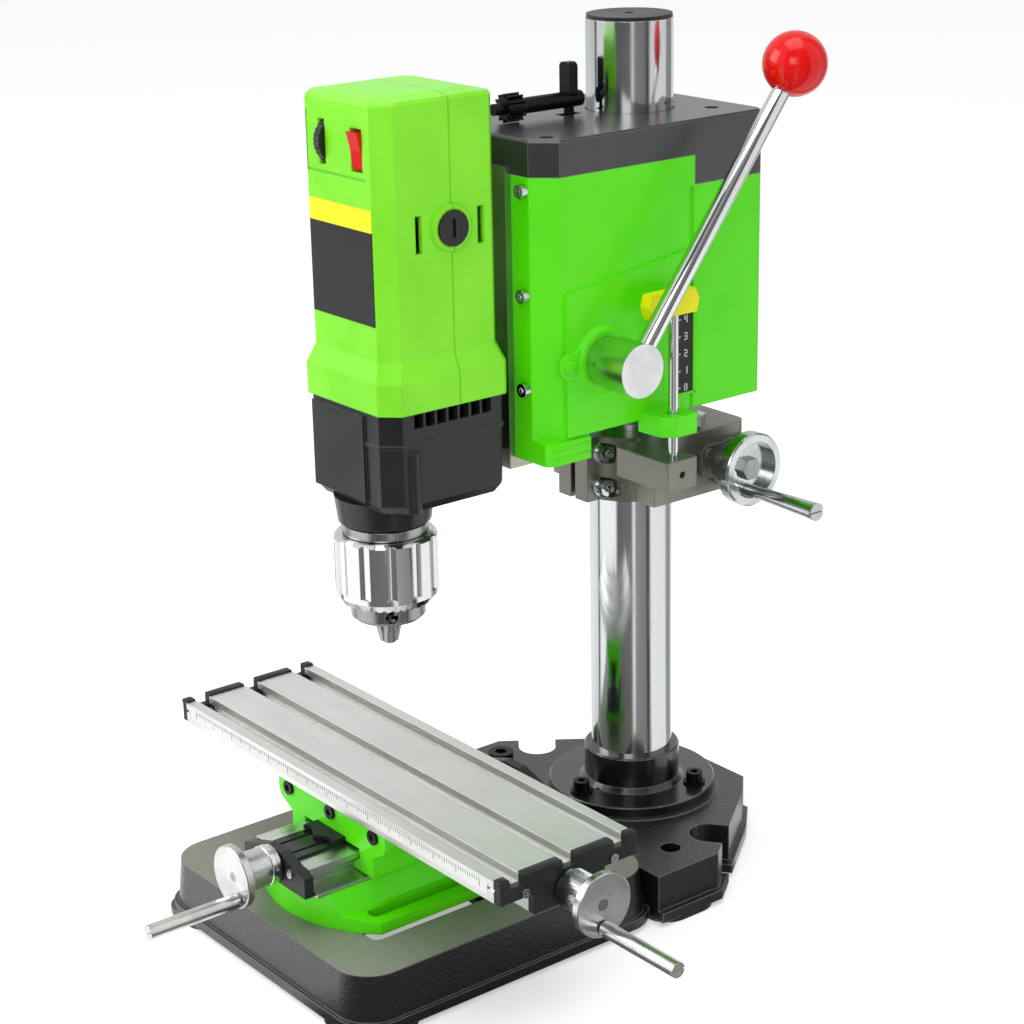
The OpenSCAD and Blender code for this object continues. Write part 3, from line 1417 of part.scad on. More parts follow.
module spindle() {
    color(chrome) translate([0, -spindle_y, 0]) {
        translate([0, 0, body_top]) cylinder(r = spindle_shaft_r, h = gear_z + gear_t + 2 * over - body_top);
        translate([0, 0, gear_z]) linear_extrude(gear_t) polygon(gear_points(gear_root, gear_tip, gear_teeth, 90 + 180 / gear_teeth));
    }
}

// Chuck values
ring_top_r = 24;
body_top = 249;
core_r = 20;
sleeve_fit = 0.08;
nose_z = 192;
cavity_r = 17.5;
mouth_r = 11.2;
key_hole_r = 3.6;
key_hole_z = 197.5;
flute_count = 12;
flute_r = 6;
tooth_count = 36;
tooth_h = 4.5;
jaw_r = 3.6;
jaw_tilt = 16;
jaw_offset = 1.7;
jaw_len = 34;
jaw_h = 28;
jaw_gap = 0.35;

module at_spindle() { translate([0, -spindle_y, 0]) children(); }

module chuck_body() {
    color(chrome) at_spindle() difference() {
        rotate_extrude() polygon([[0, nose_z], [nose_r - 2 * over, nose_z], [nose_r, nose_z + 2 * over],
            [nose_r, sleeve_z - slide_gap], [core_r, sleeve_z - slide_gap], [core_r, sleeve_z + sleeve_len + slide_gap],
            [ring_top_r, sleeve_z + sleeve_len + slide_gap], [ring_top_r, body_top - over], [ring_top_r - over, body_top], [0, body_top]]);
        translate([0, 0, nose_z + 3 * over]) cylinder(r = cavity_r, h = sleeve_len + over);
        translate([0, 0, nose_z - over]) cylinder(r = mouth_r, h = 6 * over);
        for (a = [-30, 90, 210]) rotate([0, 0, a]) translate([cavity_r - over, 0, key_hole_z]) rotate([0, 90, 0])
            cylinder(r = key_hole_r, h = 8 * over);
    }
}

module chuck_sleeve() {
    color(chrome) at_spindle() difference() {
        translate([0, 0, sleeve_z]) rotate_extrude() polygon([[core_r + sleeve_fit, 0], [sleeve_r - 3 * over, 0],
            [sleeve_r, tooth_h], [sleeve_r, sleeve_len - 2 * over], [sleeve_r - 2 * over, sleeve_len],
            [core_r + sleeve_fit, sleeve_len]]);
        // Broad flutes
        for (i = [0:flute_count - 1]) rotate([0, 0, 360 / flute_count * i])
            translate([sleeve_r + flute_r - over, 0, sleeve_z + tooth_h + 3 * over]) cylinder(r = flute_r, h = sleeve_len);
        // Teeth round the lower rim
        for (i = [0:tooth_count - 1]) rotate([0, 0, 360 / tooth_count * i])
            translate([nose_r + over * 2, 0, sleeve_z]) rotate([0, 90, 0]) cylinder(r = over * 1.3, h = sleeve_r, $fn = 4);
    }
}

// One jaw: a tilted round bar, cut to its own third of the circle
module jaw(a) {
    color(chrome) at_spindle() rotate([0, 0, a]) intersection() {
        translate([jaw_offset, 0, jaw_z]) rotate([0, jaw_tilt, 0]) translate([0, 0, -2 * over]) cylinder(r = jaw_r, h = jaw_len);
        linear_extrude(jaw_z + 2 * jaw_len) polygon([[jaw_gap, 0], [2 * jaw_len, 2 * jaw_len * tan(60) - jaw_gap * 2],
            [2 * jaw_len, -2 * jaw_len * tan(60) + jaw_gap * 2]]);
        translate([-jaw_len, -jaw_len, jaw_z]) cube([2 * jaw_len, 2 * jaw_len, jaw_h]);
    }
}
module jaw_a() jaw(90);
module jaw_b() jaw(210);
module jaw_c() jaw(330);

// Feed hub, rod and knob
lever_angle = 38;
lever_x = 85;
feed_hub_x = head_half_w + panel_out + feed_boss_out + mesh_gap;
feed_axle_in = 14;
feed_gear_root = feed_pitch_r - feed_tooth / 2 - mesh_gap / 2;
feed_gear_tip = feed_pitch_r + feed_tooth / 2 - mesh_gap / 2;
rod_socket = 9;

module at_feed() { translate([0, -feed_y, feed_z]) children(); }
// Children are drawn along +Z from the shaft axis towards the ball
module at_lever() { at_feed() translate([lever_x, 0, 0]) rotate([-lever_angle, 0, 0]) children(); }

module feed_hub() {
    color(silver) difference() {
        union() {
            at_feed() translate([feed_hub_x, 0, 0]) rotate([0, 90, 0]) {
                cylinder(r = feed_hub_r - over, h = feed_hub_len - over);
                translate([0, 0, feed_hub_len * hub_step_share]) cylinder(r = feed_hub_r, h = feed_hub_len * (1 - hub_step_share));
            }
            at_feed() translate([-feed_axle_in, 0, 0]) rotate([0, 90, 0]) cylinder(r = feed_axle_r, h = feed_hub_x + feed_axle_in + over);
            at_feed() translate([feed_rack_x - feed_rack_w / 2, 0, 0]) rotate([0, 90, 0]) linear_extrude(feed_rack_w)
                polygon(gear_points(feed_gear_root, feed_gear_tip, feed_gear_teeth, feed_phase));
        }
        at_lever() translate([0, 0, rod_socket]) cylinder(r = lever_r + column_fit, h = feed_hub_r);
    }
}
hub_step_share = 0.28;
feed_phase = 90;

module feed_rod() {
    color(chrome) at_lever() translate([0, 0, rod_socket]) cylinder(r = lever_r, h = lever_len - rod_socket - ball_r * ball_share);
}
ball_share = 0.45;

module feed_knob() {
    color(red) at_lever() difference() {
        translate([0, 0, lever_len]) sphere(ball_r);
        translate([0, 0, rod_socket]) cylinder(r = lever_r + column_fit, h = lever_len - rod_socket - ball_r * ball_share);
        translate([0, 0, lever_len - ball_r]) cylinder(r = lever_r + 2 * over, h = over);
    }
}

// Chuck key, stored on the cover
key_x = -6;
key_tip_y = -94;
key_handle_y = -40;
key_gear_r = 8;
key_shaft_r = 4.5;
key_len = 62;
key_slot_w = 7.5;
key_handle_half = 20;
key_handle_r = 3;
key_teeth = 12;

module chuck_key() {
    color(black) translate([key_x, key_tip_y, cover_z + cover_h + key_gear_r + slide_gap]) {
        rotate([-90, 0, 0]) {
            cylinder(r = key_hole_r - slide_gap, h = 8 * over);
            translate([0, 0, 7 * over]) linear_extrude(11 * over)
                polygon(gear_points(key_gear_r - 2 * over, key_gear_r, key_teeth, 0));
            translate([0, 0, 17 * over]) cylinder(r = key_shaft_r, h = key_len - 17 * over);
        }
        translate([0, key_handle_y - key_tip_y, -key_handle_half]) cylinder(r = key_handle_r, h = 2 * key_handle_half);
        translate([0, key_handle_y - key_tip_y, over]) rotate([90, 0, 0]) translate([0, key_handle_half / 2, -key_handle_r])
            linear_extrude(2 * key_handle_r) round_rect(9 * over, key_handle_half, 3 * over);
    }
}

base_casting();
column_flange();
flange_bolts();
column_tube();
column_rack();
column_cap();
base_bolts();
slide_base();
y_rail();
y_end_plates();
y_plate_screws();
rail_cover();
saddle();
gib_screws();
lead_nuts();
way_wiper();
table_plate();
table_end_caps();
table_cap_screws();
x_screw();
x_wheel();
x_grip();
y_screw();
y_wheel();
y_grip();
carriage_collar();
clamp_bolts();
lift_flange();
depth_rod();
depth_pointer();
feed_rack();
lock_nut();
lift_wheel();
lift_pinion();
lift_grip();
head_housing();
head_cover();
head_screws();
motor_plate();
motor_case_front();
motor_case_rear();
gearbox();
brush_caps();
cable_gland();
motor_field();
spindle_bearings();
feed_hub();
feed_rod();
feed_knob();
spindle();
chuck_body();
chuck_sleeve();
jaw_a();
jaw_b();
jaw_c();
rotor();
power_switch();
speed_dial();
chuck_key();
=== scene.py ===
"""Finishes, trim, floor, lights and camera for the drill milling machine."""

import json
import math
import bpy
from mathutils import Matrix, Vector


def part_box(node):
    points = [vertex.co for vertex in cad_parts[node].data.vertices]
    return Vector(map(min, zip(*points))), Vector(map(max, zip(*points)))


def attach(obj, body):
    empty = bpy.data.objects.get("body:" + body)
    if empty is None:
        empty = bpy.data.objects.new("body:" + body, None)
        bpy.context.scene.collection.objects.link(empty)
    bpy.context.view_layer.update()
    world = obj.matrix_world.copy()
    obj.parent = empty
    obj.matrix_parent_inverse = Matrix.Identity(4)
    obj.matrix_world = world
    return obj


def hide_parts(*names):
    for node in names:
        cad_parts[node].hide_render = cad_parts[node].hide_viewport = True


bl_info = {
    "name": "Drill Milling Machine Finish",
    "version": (1, 0, 0),
    "blender": (4, 2, 0),
    "location": "3D View > Sidebar > Drill Mill",
    "description": "Materials, fine trim and studio for the packed drill milling machine",
    "category": "Object",
}

import bmesh
import bpy
from mathutils import Matrix, Vector

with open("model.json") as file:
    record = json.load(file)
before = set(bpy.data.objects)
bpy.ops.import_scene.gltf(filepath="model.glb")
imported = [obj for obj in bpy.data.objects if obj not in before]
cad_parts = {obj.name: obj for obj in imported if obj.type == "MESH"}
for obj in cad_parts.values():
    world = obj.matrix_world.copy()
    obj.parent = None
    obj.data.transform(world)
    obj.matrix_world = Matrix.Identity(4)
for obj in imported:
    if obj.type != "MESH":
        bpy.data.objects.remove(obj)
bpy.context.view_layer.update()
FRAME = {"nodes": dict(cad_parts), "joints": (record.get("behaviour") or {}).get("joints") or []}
MM = 0.001

# Where the Mix node keeps its factor, its two colours and the colour it gives, and its two plain numbers
FACTOR, COLOUR_A, COLOUR_B, COLOUR_OUT = 0, 6, 7, 2
NUMBER_A, NUMBER_B = 2, 3

# Directions in the frame
AXES = {
    "X": Vector((1, 0, 0)),
    "Y": Vector((0, 1, 0)),
    "-Y": Vector((0, -1, 0)),
    "Z": Vector((0, 0, 1)),
}


# Places taken from the frame, in millimetres


def corners(node):
    """The lowest and the highest corner of a solid."""
    low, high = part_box(node)
    return low / MM, high / MM


def centre_of(joint):
    """A point on the axis of a turning joint."""
    found = next(j for j in FRAME["joints"] if j["name"] == joint)
    return Vector(found["pos_m"]) / MM


def head_side():
    """How far the head's flat side lies from its middle plane."""
    return -corners("head_housing")[0].x


# Shared helpers for shader nodes


def linear(hex_colour, alpha=1.0):
    """An sRGB hex colour as linear red, green, blue and alpha."""
    parts = [int(hex_colour[i : i + 2], 16) / 255 for i in (1, 3, 5)]
    return [p / 12.92 if p <= 0.04045 else ((p + 0.055) / 1.055) ** 2.4 for p in parts] + [alpha]


def cells(size_mm):
    """The texture scale that gives a pattern of a real size, as Object coordinates are in metres."""
    return 1.0 / (size_mm * MM)


def add(tree, kind, settings=None, links=None):
    """Adds one node, with its settings and with what its inputs are linked to."""
    node = tree.nodes.new(kind)
    for name, value in (settings or {}).items():
        if isinstance(name, str) and hasattr(node, name):
            setattr(node, name, value)
        else:
            node.inputs[name].default_value = value
    for name, source in (links or {}).items():
        tree.links.new(source, node.inputs[name])
    return node


def finish_of(name, metallic, roughness, **sockets):
    """A new material with its shader, its output and Object coordinates."""
    material = bpy.data.materials.new(name)
    material.use_nodes = True
    tree = material.node_tree
    tree.nodes.clear()
    settings = {"Metallic": metallic, "Roughness": roughness, **sockets}
    shader = add(tree, "ShaderNodeBsdfPrincipled", settings)
    add(tree, "ShaderNodeOutputMaterial", links={"Surface": shader.outputs[0]})
    place = add(tree, "ShaderNodeTexCoord").outputs["Object"]
    return material, tree, shader, place


def parts_of(material):
    """The node tree and the shader of a finished material."""
    return material.node_tree, material.node_tree.nodes["Principled BSDF"]


def colour_ramp(tree, factor, low, high, start, end):
    """Goes from one colour to another between two values of the factor."""
    ramp = add(tree, "ShaderNodeValToRGB", links={0: factor})
    first, last = ramp.color_ramp.elements
    first.position, first.color = start, low
    last.position, last.color = end, high
    return ramp.outputs[0]


def spread(tree, factor, low, high, start=0.3, end=0.7):
    """Goes from one number to another between two values of the factor."""
    limits = {"From Min": start, "From Max": end, "To Min": low, "To Max": high}
    return add(tree, "ShaderNodeMapRange", limits, {"Value": factor}).outputs[0]


def relief(tree, shader, height, depth_mm, edge_mm):
    """Bump of a real depth over softly broken edges."""
    edge = add(tree, "ShaderNodeBevel", {"samples": 4, "Radius": edge_mm * MM})
    depth = {"Strength": 1.0, "Distance": depth_mm * MM}
    bump = add(tree, "ShaderNodeBump", depth, {"Height": height, "Normal": edge.outputs[0]})
    tree.links.new(bump.outputs[0], shader.inputs["Normal"])


def bright_edges(material, hex_colour, width_mm, share):
    """Lightens the corners with a painted highlight, and partly for paint or grain worn there."""
    tree, shader = parts_of(material)
    soft = add(tree, "ShaderNodeBevel", {"samples": 6, "Radius": width_mm * MM}).outputs[0]
    flat = add(tree, "ShaderNodeNewGeometry").outputs["Normal"]
    turn = add(tree, "ShaderNodeVectorMath", {"operation": "DOT_PRODUCT"}, {0: soft, 1: flat})
    mask = spread(tree, turn.outputs["Value"], 0.0, share, 0.985, 0.86)
    body = shader.inputs["Base Color"].links[0].from_socket
    # The colour mixed in at the corners is a painted highlight, and partly wear
    highlight_and_wear = {"data_type": "RGBA", COLOUR_B: linear(hex_colour)}
    mixed = add(tree, "ShaderNodeMix", highlight_and_wear, {FACTOR: mask, COLOUR_A: body})
    tree.links.new(mixed.outputs[COLOUR_OUT], shader.inputs["Base Color"])


# Materials, each after what the real surface is made of


def sprayed_enamel(name, colour, shade, coat=0.12):
    """Gloss enamel sprayed on cast iron or steel: even colour, and a faint orange peel of about 1.5 mm."""
    gloss = {"Coat Weight": coat, "Coat Roughness": 0.12, "Specular IOR Level": 0.3}
    material, tree, shader, place = finish_of(name, 0.0, 0.36, **gloss)
    cloud = add(tree, "ShaderNodeTexNoise", {"Scale": cells(55.56), "Detail": 3.0}, {"Vector": place})
    peel = add(tree, "ShaderNodeTexNoise", {"Scale": cells(1.5385), "Detail": 2.0}, {"Vector": place})
    tint = colour_ramp(tree, cloud.outputs[0], linear(shade), linear(colour), start=0.30, end=0.62)
    tree.links.new(tint, shader.inputs["Base Color"])
    relief(tree, shader, peel.outputs[0], depth_mm=0.05, edge_mm=1.0)
    return material


def moulded_plastic(name, colour, shade, roughness, grain_mm, depth_mm, edge_mm=0.8):
    """Moulded plastic: spark-eroded grain from the tool, with slightly duller patches from handling."""
    material, tree, shader, place = finish_of(name, 0.0, roughness, **{"Specular IOR Level": 0.36})
    cloud = add(tree, "ShaderNodeTexNoise", {"Scale": cells(45.455), "Detail": 4.0}, {"Vector": place})
    grain = add(tree, "ShaderNodeTexNoise", {"Scale": cells(grain_mm), "Detail": 2.0}, {"Vector": place})
    tint = colour_ramp(tree, cloud.outputs[0], linear(shade), linear(colour), start=0.32, end=0.6)
    tree.links.new(tint, shader.inputs["Base Color"])
    rough = spread(tree, cloud.outputs[0], roughness - 0.05, roughness + 0.07)
    tree.links.new(rough, shader.inputs["Roughness"])
    relief(tree, shader, grain.outputs[0], depth_mm, edge_mm)
    return material


def crackle_paint(name, colour, shade, crackle_mm, depth_mm):
    """Wrinkle paint or textured powder on a casting: small cells with painted shade at their borders, and
    corners with painted highlight and wear.
    """
    material, tree, shader, place = finish_of(name, 0.0, 0.38, **{"Coat Weight": 0.45, "Coat Roughness": 0.2})
    cell = add(tree, "ShaderNodeTexVoronoi", {"Scale": cells(crackle_mm)}, {"Vector": place})
    wander = add(tree, "ShaderNodeTexNoise", {"Scale": cells(2.381), "Detail": 3.0}, {"Vector": place})
    both = {0: cell.outputs[0], 1: wander.outputs[0]}
    height = add(tree, "ShaderNodeMath", {"operation": "MULTIPLY"}, both)
    # The cell borders are darkened as painted shade of the wrinkles
    tint = colour_ramp(tree, height.outputs[0], linear(colour), linear(shade), start=0.05, end=0.5)
    tree.links.new(tint, shader.inputs["Base Color"])
    # Light grey corners: a painted highlight, and partly wear
    bright_edges(material, "#8B8D8C", width_mm=1.1, share=0.75)
    relief(tree, shader, height.outputs[0], depth_mm, edge_mm=1.6)
    return material


def machined_metal(name, colour, shade, roughness, along, pitch_mm, edge_mm=0.5, metallic=1.0):
    """Milled or drawn metal: fine straight tool marks along one direction and faint handling clouds."""
    material, tree, shader, place = finish_of(name, metallic, roughness)
    stretch = [cells(pitch_mm)] * 3
    stretch["XYZ".index(along)] = cells(166.67)
    lines = add(tree, "ShaderNodeMapping", {"Scale": stretch}, {"Vector": place})
    marks = add(tree, "ShaderNodeTexNoise", {"Scale": 1.0, "Detail": 2.0}, {"Vector": lines.outputs[0]})
    cloud = add(tree, "ShaderNodeTexNoise", {"Scale": cells(38.46), "Detail": 3.0}, {"Vector": place})
    both = add(tree, "ShaderNodeMath", {"operation": "MULTIPLY"}, {0: marks.outputs[0], 1: cloud.outputs[0]})
    tint = colour_ramp(tree, both.outputs[0], linear(shade), linear(colour), start=0.12, end=0.4)
    tree.links.new(tint, shader.inputs["Base Color"])
    rough = spread(tree, marks.outputs[0], roughness - 0.06, roughness + 0.1)
    tree.links.new(rough, shader.inputs["Roughness"])
    relief(tree, shader, marks.outputs[0], depth_mm=0.02, edge_mm=edge_mm)
    return material


def turned_metal(name, colour, shade, roughness, axis, centre_mm, ring_mm=1.381):
    """Metal turned on a lathe: rings round the axis, drawn coarse enough to show, and streaks on the face."""
    material, tree, shader, place = finish_of(name, 1.0, roughness, Anisotropic=0.75)
    round_it = add(tree, "ShaderNodeTangent", {"direction_type": "RADIAL", "axis": axis})
    tree.links.new(round_it.outputs[0], shader.inputs["Tangent"])
    quarter = math.pi / 2
    turn = {"X": (0, quarter, 0), "Y": (quarter, 0, 0), "Z": (0, 0, 0)}[axis]
    to_centre = {"operation": "SUBTRACT", 1: [c * MM for c in centre_mm]}
    shift = add(tree, "ShaderNodeVectorMath", to_centre, {0: place})
    tilt = {"rotation_type": "EULER_XYZ", "Rotation": turn}
    spin = add(tree, "ShaderNodeVectorRotate", tilt, {"Vector": shift.outputs[0]})
    # The wave texture draws one ring every 2 pi / 20 units of its scale
    bands = {"wave_type": "RINGS", "rings_direction": "Z", "Scale": cells(ring_mm) * 2 * math.pi / 20}
    bands.update({"Distortion": 0.4, "Detail": 1.0})
    rings = add(tree, "ShaderNodeTexWave", bands, {"Vector": spin.outputs[0]})
    cloud = add(tree, "ShaderNodeTexNoise", {"Scale": cells(16.667), "Detail": 3.0}, {"Vector": place})
    tint = colour_ramp(tree, cloud.outputs[0], linear(shade), linear(colour), start=0.3, end=0.6)
    tree.links.new(tint, shader.inputs["Base Color"])
    relief(tree, shader, rings.outputs[0], depth_mm=0.012, edge_mm=0.4)
    return material


def polished_chrome(name, colour, roughness):
    """Hard chrome over ground steel: mirror-like, with very slight waviness and finger haze."""
    material, tree, shader, place = finish_of(name, 1.0, roughness)
    haze = add(tree, "ShaderNodeTexNoise", {"Scale": cells(28.57), "Detail": 4.0}, {"Vector": place})
    shader.inputs["Base Color"].default_value = linear(colour)
    rough = spread(tree, haze.outputs[0], roughness, roughness + 0.08, start=0.35, end=0.7)
    tree.links.new(rough, shader.inputs["Roughness"])
    relief(tree, shader, haze.outputs[0], depth_mm=0.02, edge_mm=0.5)
    return material


def casting_with_machined_pad(paint_colour, pad_colour, pad_height):
    """The base: black wrinkle paint, with the top of the pad milled bare and left matt."""
    # The darker #0C0D0D is painted shade in the wrinkles, and the corners get a painted highlight and wear
    material = crackle_paint("wrinkle_painted_iron", paint_colour, "#0C0D0D", crackle_mm=1.9, depth_mm=0.55)
    tree, shader = parts_of(material)
    place = add(tree, "ShaderNodeTexCoord").outputs["Object"]
    normal = add(tree, "ShaderNodeNewGeometry").outputs["Normal"]
    height = add(tree, "ShaderNodeSeparateXYZ", links={0: place}).outputs["Z"]
    up = add(tree, "ShaderNodeSeparateXYZ", links={0: normal}).outputs["Z"]
    on_pad = add(tree, "ShaderNodeMath", {"operation": "GREATER_THAN", 1: pad_height - 0.2 * MM}, {0: height})
    faces_up = add(tree, "ShaderNodeMath", {"operation": "GREATER_THAN", 1: 0.9}, {0: up})
    both = {0: on_pad.outputs[0], 1: faces_up.outputs[0]}
    bare = add(tree, "ShaderNodeMath", {"operation": "MULTIPLY"}, both).outputs[0]

    # Cutter marks run along X, about 2 mm apart
    passes = add(tree, "ShaderNodeMapping", {"Scale": (cells(25), cells(2), 1.0)}, {"Vector": place})
    marks = add(tree, "ShaderNodeTexNoise", {"Scale": 1.0, "Detail": 3.0}, {"Vector": passes.outputs[0]})
    metal = colour_ramp(tree, marks.outputs[0], linear("#85877B"), linear(pad_colour), start=0.3, end=0.65)
    paint = shader.inputs["Base Color"].links[0].from_socket
    colours = {FACTOR: bare, COLOUR_A: paint, COLOUR_B: metal}
    mixed = add(tree, "ShaderNodeMix", {"data_type": "RGBA"}, colours)
    tree.links.new(mixed.outputs[COLOUR_OUT], shader.inputs["Base Color"])
    finishes = (("Metallic", 0.0, 0.15), ("Coat Weight", 0.45, 0.05), ("Roughness", 0.38, 0.5))
    for socket, on_paint, on_metal in finishes:
        tree.links.new(spread(tree, bare, on_paint, on_metal, 0.0, 1.0), shader.inputs[socket])

    bump = shader.inputs["Normal"].links[0].from_node
    wrinkles = bump.inputs["Height"].links[0].from_socket
    fine = add(tree, "ShaderNodeMath", {"operation": "MULTIPLY", 1: 0.06}, {0: marks.outputs[0]})
    heights = {FACTOR: bare, NUMBER_A: wrinkles, NUMBER_B: fine.outputs[0]}
    picked = add(tree, "ShaderNodeMix", {"data_type": "FLOAT"}, heights)
    tree.links.new(picked.outputs[0], bump.inputs["Height"])
    return material


def printed_film(name, colour, shade, roughness=0.35, grain_mm=1.5, depth_mm=0.004, edge_mm=0.2):
    """Printed or anodised film stuck on a part: nearly flat, with a faint unevenness and crisp edges."""
    return moulded_plastic(name, colour, shade, roughness, grain_mm, depth_mm, edge_mm)


# Helpers that make pieces from millimetres


def piece(name, mesh_builder, material, body, smooth=None):
    """Makes a bmesh piece at the origin that rides on a body and has the material that it is given."""
    shape = bmesh.new()
    mesh_builder(shape)
    bmesh.ops.recalc_face_normals(shape, faces=shape.faces)
    mesh = bpy.data.meshes.new(name)
    shape.to_mesh(mesh)
    shape.free()
    thing = bpy.data.objects.new(name, mesh)
    bpy.context.scene.collection.objects.link(thing)
    mesh.materials.append(material)
    if smooth is not None:
        for face in mesh.polygons:
            face.use_smooth = True
        mesh.set_sharp_from_angle(angle=math.radians(smooth))
    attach(thing, body)
    return thing


def round_edges(shape, edges, round_mm):
    """Rounds some edges with two segments."""
    bmesh.ops.bevel(
        shape,
        geom=edges,
        offset=round_mm * MM,
        segments=2,
        profile=0.5,
        affect="EDGES",
        material=-1,
        clamp_overlap=True,
    )


def block(shape, low, high, round_mm=0.0):
    """A box between two corners, with its edges rounded."""
    low, high = Vector(low) * MM, Vector(high) * MM
    place = Matrix.Translation((low + high) / 2) @ Matrix.Diagonal([*(high - low), 1.0])
    made = bmesh.ops.create_cube(shape, size=1.0, matrix=place)
    if round_mm:
        edges = dict.fromkeys(edge for vert in made["verts"] for edge in vert.link_edges)
        round_edges(shape, list(edges), round_mm)


def lathe(shape, profile, axis, centre, steps=64):
    """Spins a profile of (radius, height) points round an axis through a centre, and closes its poles."""
    along = AXES[axis]
    out = AXES["X"] if axis == "Z" else AXES["Z"]
    foot = Vector(centre) * MM
    verts = [shape.verts.new(foot + (out * radius + along * height) * MM) for radius, height in profile]
    edges = [shape.edges.new(pair) for pair in zip(verts, verts[1:])]
    around = {"cent": foot, "axis": along, "angle": 2 * math.pi, "steps": steps, "use_merge": True}
    bmesh.ops.spin(shape, geom=verts + edges, **around)
    bmesh.ops.remove_doubles(shape, verts=shape.verts, dist=1e-6)


def prism(shape, outline, axis, base, length, round_mm=0.0):
    """Pushes an outline along an axis: its two numbers are Y and Z along X, and X and Y along Z."""
    flat = {"X": lambda a, b: Vector((0, a, b)), "Z": lambda a, b: Vector((a, b, 0))}[axis]
    foot = Vector(base) * MM
    face = shape.faces.new([shape.verts.new(foot + flat(a, b) * MM) for a, b in outline])
    made = bmesh.ops.extrude_face_region(shape, geom=[face])
    top = [part for part in made["geom"] if isinstance(part, bmesh.types.BMVert)]
    bmesh.ops.translate(shape, verts=top, vec=AXES[axis] * length * MM)
    if round_mm:
        edges = dict.fromkeys(edge for vert in top for edge in vert.link_edges)
        round_edges(shape, [edge for edge in edges if all(end in top for end in edge.verts)], round_mm)


def ridged_ring(count, low, high):
    """An outline of straight knurling: ridges that alternate between two radii."""
    shares = ((0.0, low), (0.25, high), (0.6, high), (0.85, low))
    turns = [((i + share) / count * 2 * math.pi, radius) for i in range(count) for share, radius in shares]
    return [(radius * math.cos(turn), radius * math.sin(turn)) for turn, radius in turns]


def arc(centre, radius, start, end, steps=24):
    """Points on an arc between two angles in degrees."""
    turns = [math.radians(start + (end - start) * step / steps) for step in range(steps + 1)]
    return [(centre[0] + radius * math.cos(turn), centre[1] + radius * math.sin(turn)) for turn in turns]


def numeral(shape, number, side, low, height, deep):
    """A plain numeral of straight strokes that faces +X, placed by its left and lower edges."""
    width, pen = height * 0.55, height * 0.14
    mid, top = low + height / 2, low + height
    strokes = {
        "a": (side, top - pen, side + width, top),
        "b": (side + width - pen, mid, side + width, top),
        "c": (side + width - pen, low, side + width, mid),
        "d": (side, low, side + width, low + pen),
        "e": (side, low, side + pen, mid),
        "f": (side, mid, side + pen, top),
        "g": (side, mid - pen / 2, side + width, mid + pen / 2),
    }
    for stroke in ("abcdef", "bc", "abged", "abgcd", "fgbc", "afgcd")[number]:
        y0, z0, y1, z1 = strokes[stroke]
        block(shape, (deep[0], y0, z0), (deep[1], y1, z1))


def strip(name, low, high, round_mm, material, body):
    """A flat strip or label between two corners."""
    return piece(name, lambda shape: block(shape, low, high, round_mm), material, body)


# Settings that a user would change


class DrillMillColours(bpy.types.PropertyGroup):
    """Colours of the dressed machine, as sRGB hex values."""

    enamel_green: bpy.props.StringProperty(
        name="Enamel", description="Colour of the green castings", default="#62F205"
    )
    case_lime: bpy.props.StringProperty(
        name="Motor case", description="Colour of the motor case", default="#8DF42C"
    )
    base_black: bpy.props.StringProperty(
        name="Base", description="Colour of the wrinkle paint", default="#171818"
    )
    pad_grey: bpy.props.StringProperty(
        name="Machined pad", description="Colour of the bare iron", default="#8C8E82"
    )
    cover_grey: bpy.props.StringProperty(
        name="Head cover", description="Colour of the head's cover", default="#2F3031"
    )
    ball_red: bpy.props.StringProperty(
        name="Ball", description="Colour of the lever's ball and the switch", default="#E80C0C"
    )
    pointer_yellow: bpy.props.StringProperty(
        name="Pointer", description="Colour of the depth pointer", default="#FFFB0C"
    )


class DrillMillSizes(bpy.types.PropertyGroup):
    """Sizes of the machine's trim."""

    pad_height: bpy.props.FloatProperty(
        name="Pad height",
        description="Height of the machined pad above the floor",
        default=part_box("base_casting")[1].z,
        unit="LENGTH",
    )
    lever_thickness: bpy.props.FloatProperty(
        name="Lever", description="Thickness of the feed lever's rod", default=0.0106, unit="LENGTH"
    )
    lever_lean: bpy.props.FloatProperty(
        name="Lean",
        description="How far the feed lever leans back",
        default=math.radians(38.0),
        subtype="ANGLE",
    )
    ruler_step: bpy.props.FloatProperty(
        name="Ruler step", description="Distance between the ruler's ticks", default=0.002, unit="LENGTH"
    )
    ruler_ticks: bpy.props.IntProperty(
        name="Ruler ticks", description="Number of ticks on the ruler", default=141
    )
    knurl_ridges: bpy.props.IntProperty(name="Knurl", description="Number of ridges on the hub", default=44)


class DrillMillStudio(bpy.types.PropertyGroup):
    """Floor and light of the studio."""

    floor_size: bpy.props.FloatProperty(
        name="Floor", description="Half width of the floor", default=30.0, unit="LENGTH"
    )
    floor_glow: bpy.props.FloatProperty(
        name="Floor glow",
        description="Light of the floor as the camera and polished metal see it",
        default=0.42,
    )
    air_light: bpy.props.FloatProperty(
        name="Air", description="Light that the air gives to the machine", default=0.55
    )
    air_seen: bpy.props.FloatProperty(
        name="Seen air", description="Light of the air as the camera and polished metal see it", default=0.95
    )
    lamp_power: bpy.props.FloatProperty(
        name="Lamps", description="Overall strength of the lamps", default=1.0
    )


# The finishes of the solids

# The cloudy shade of the green enamel, on the castings and on their trim
GREEN_SHADE = "#56E804"


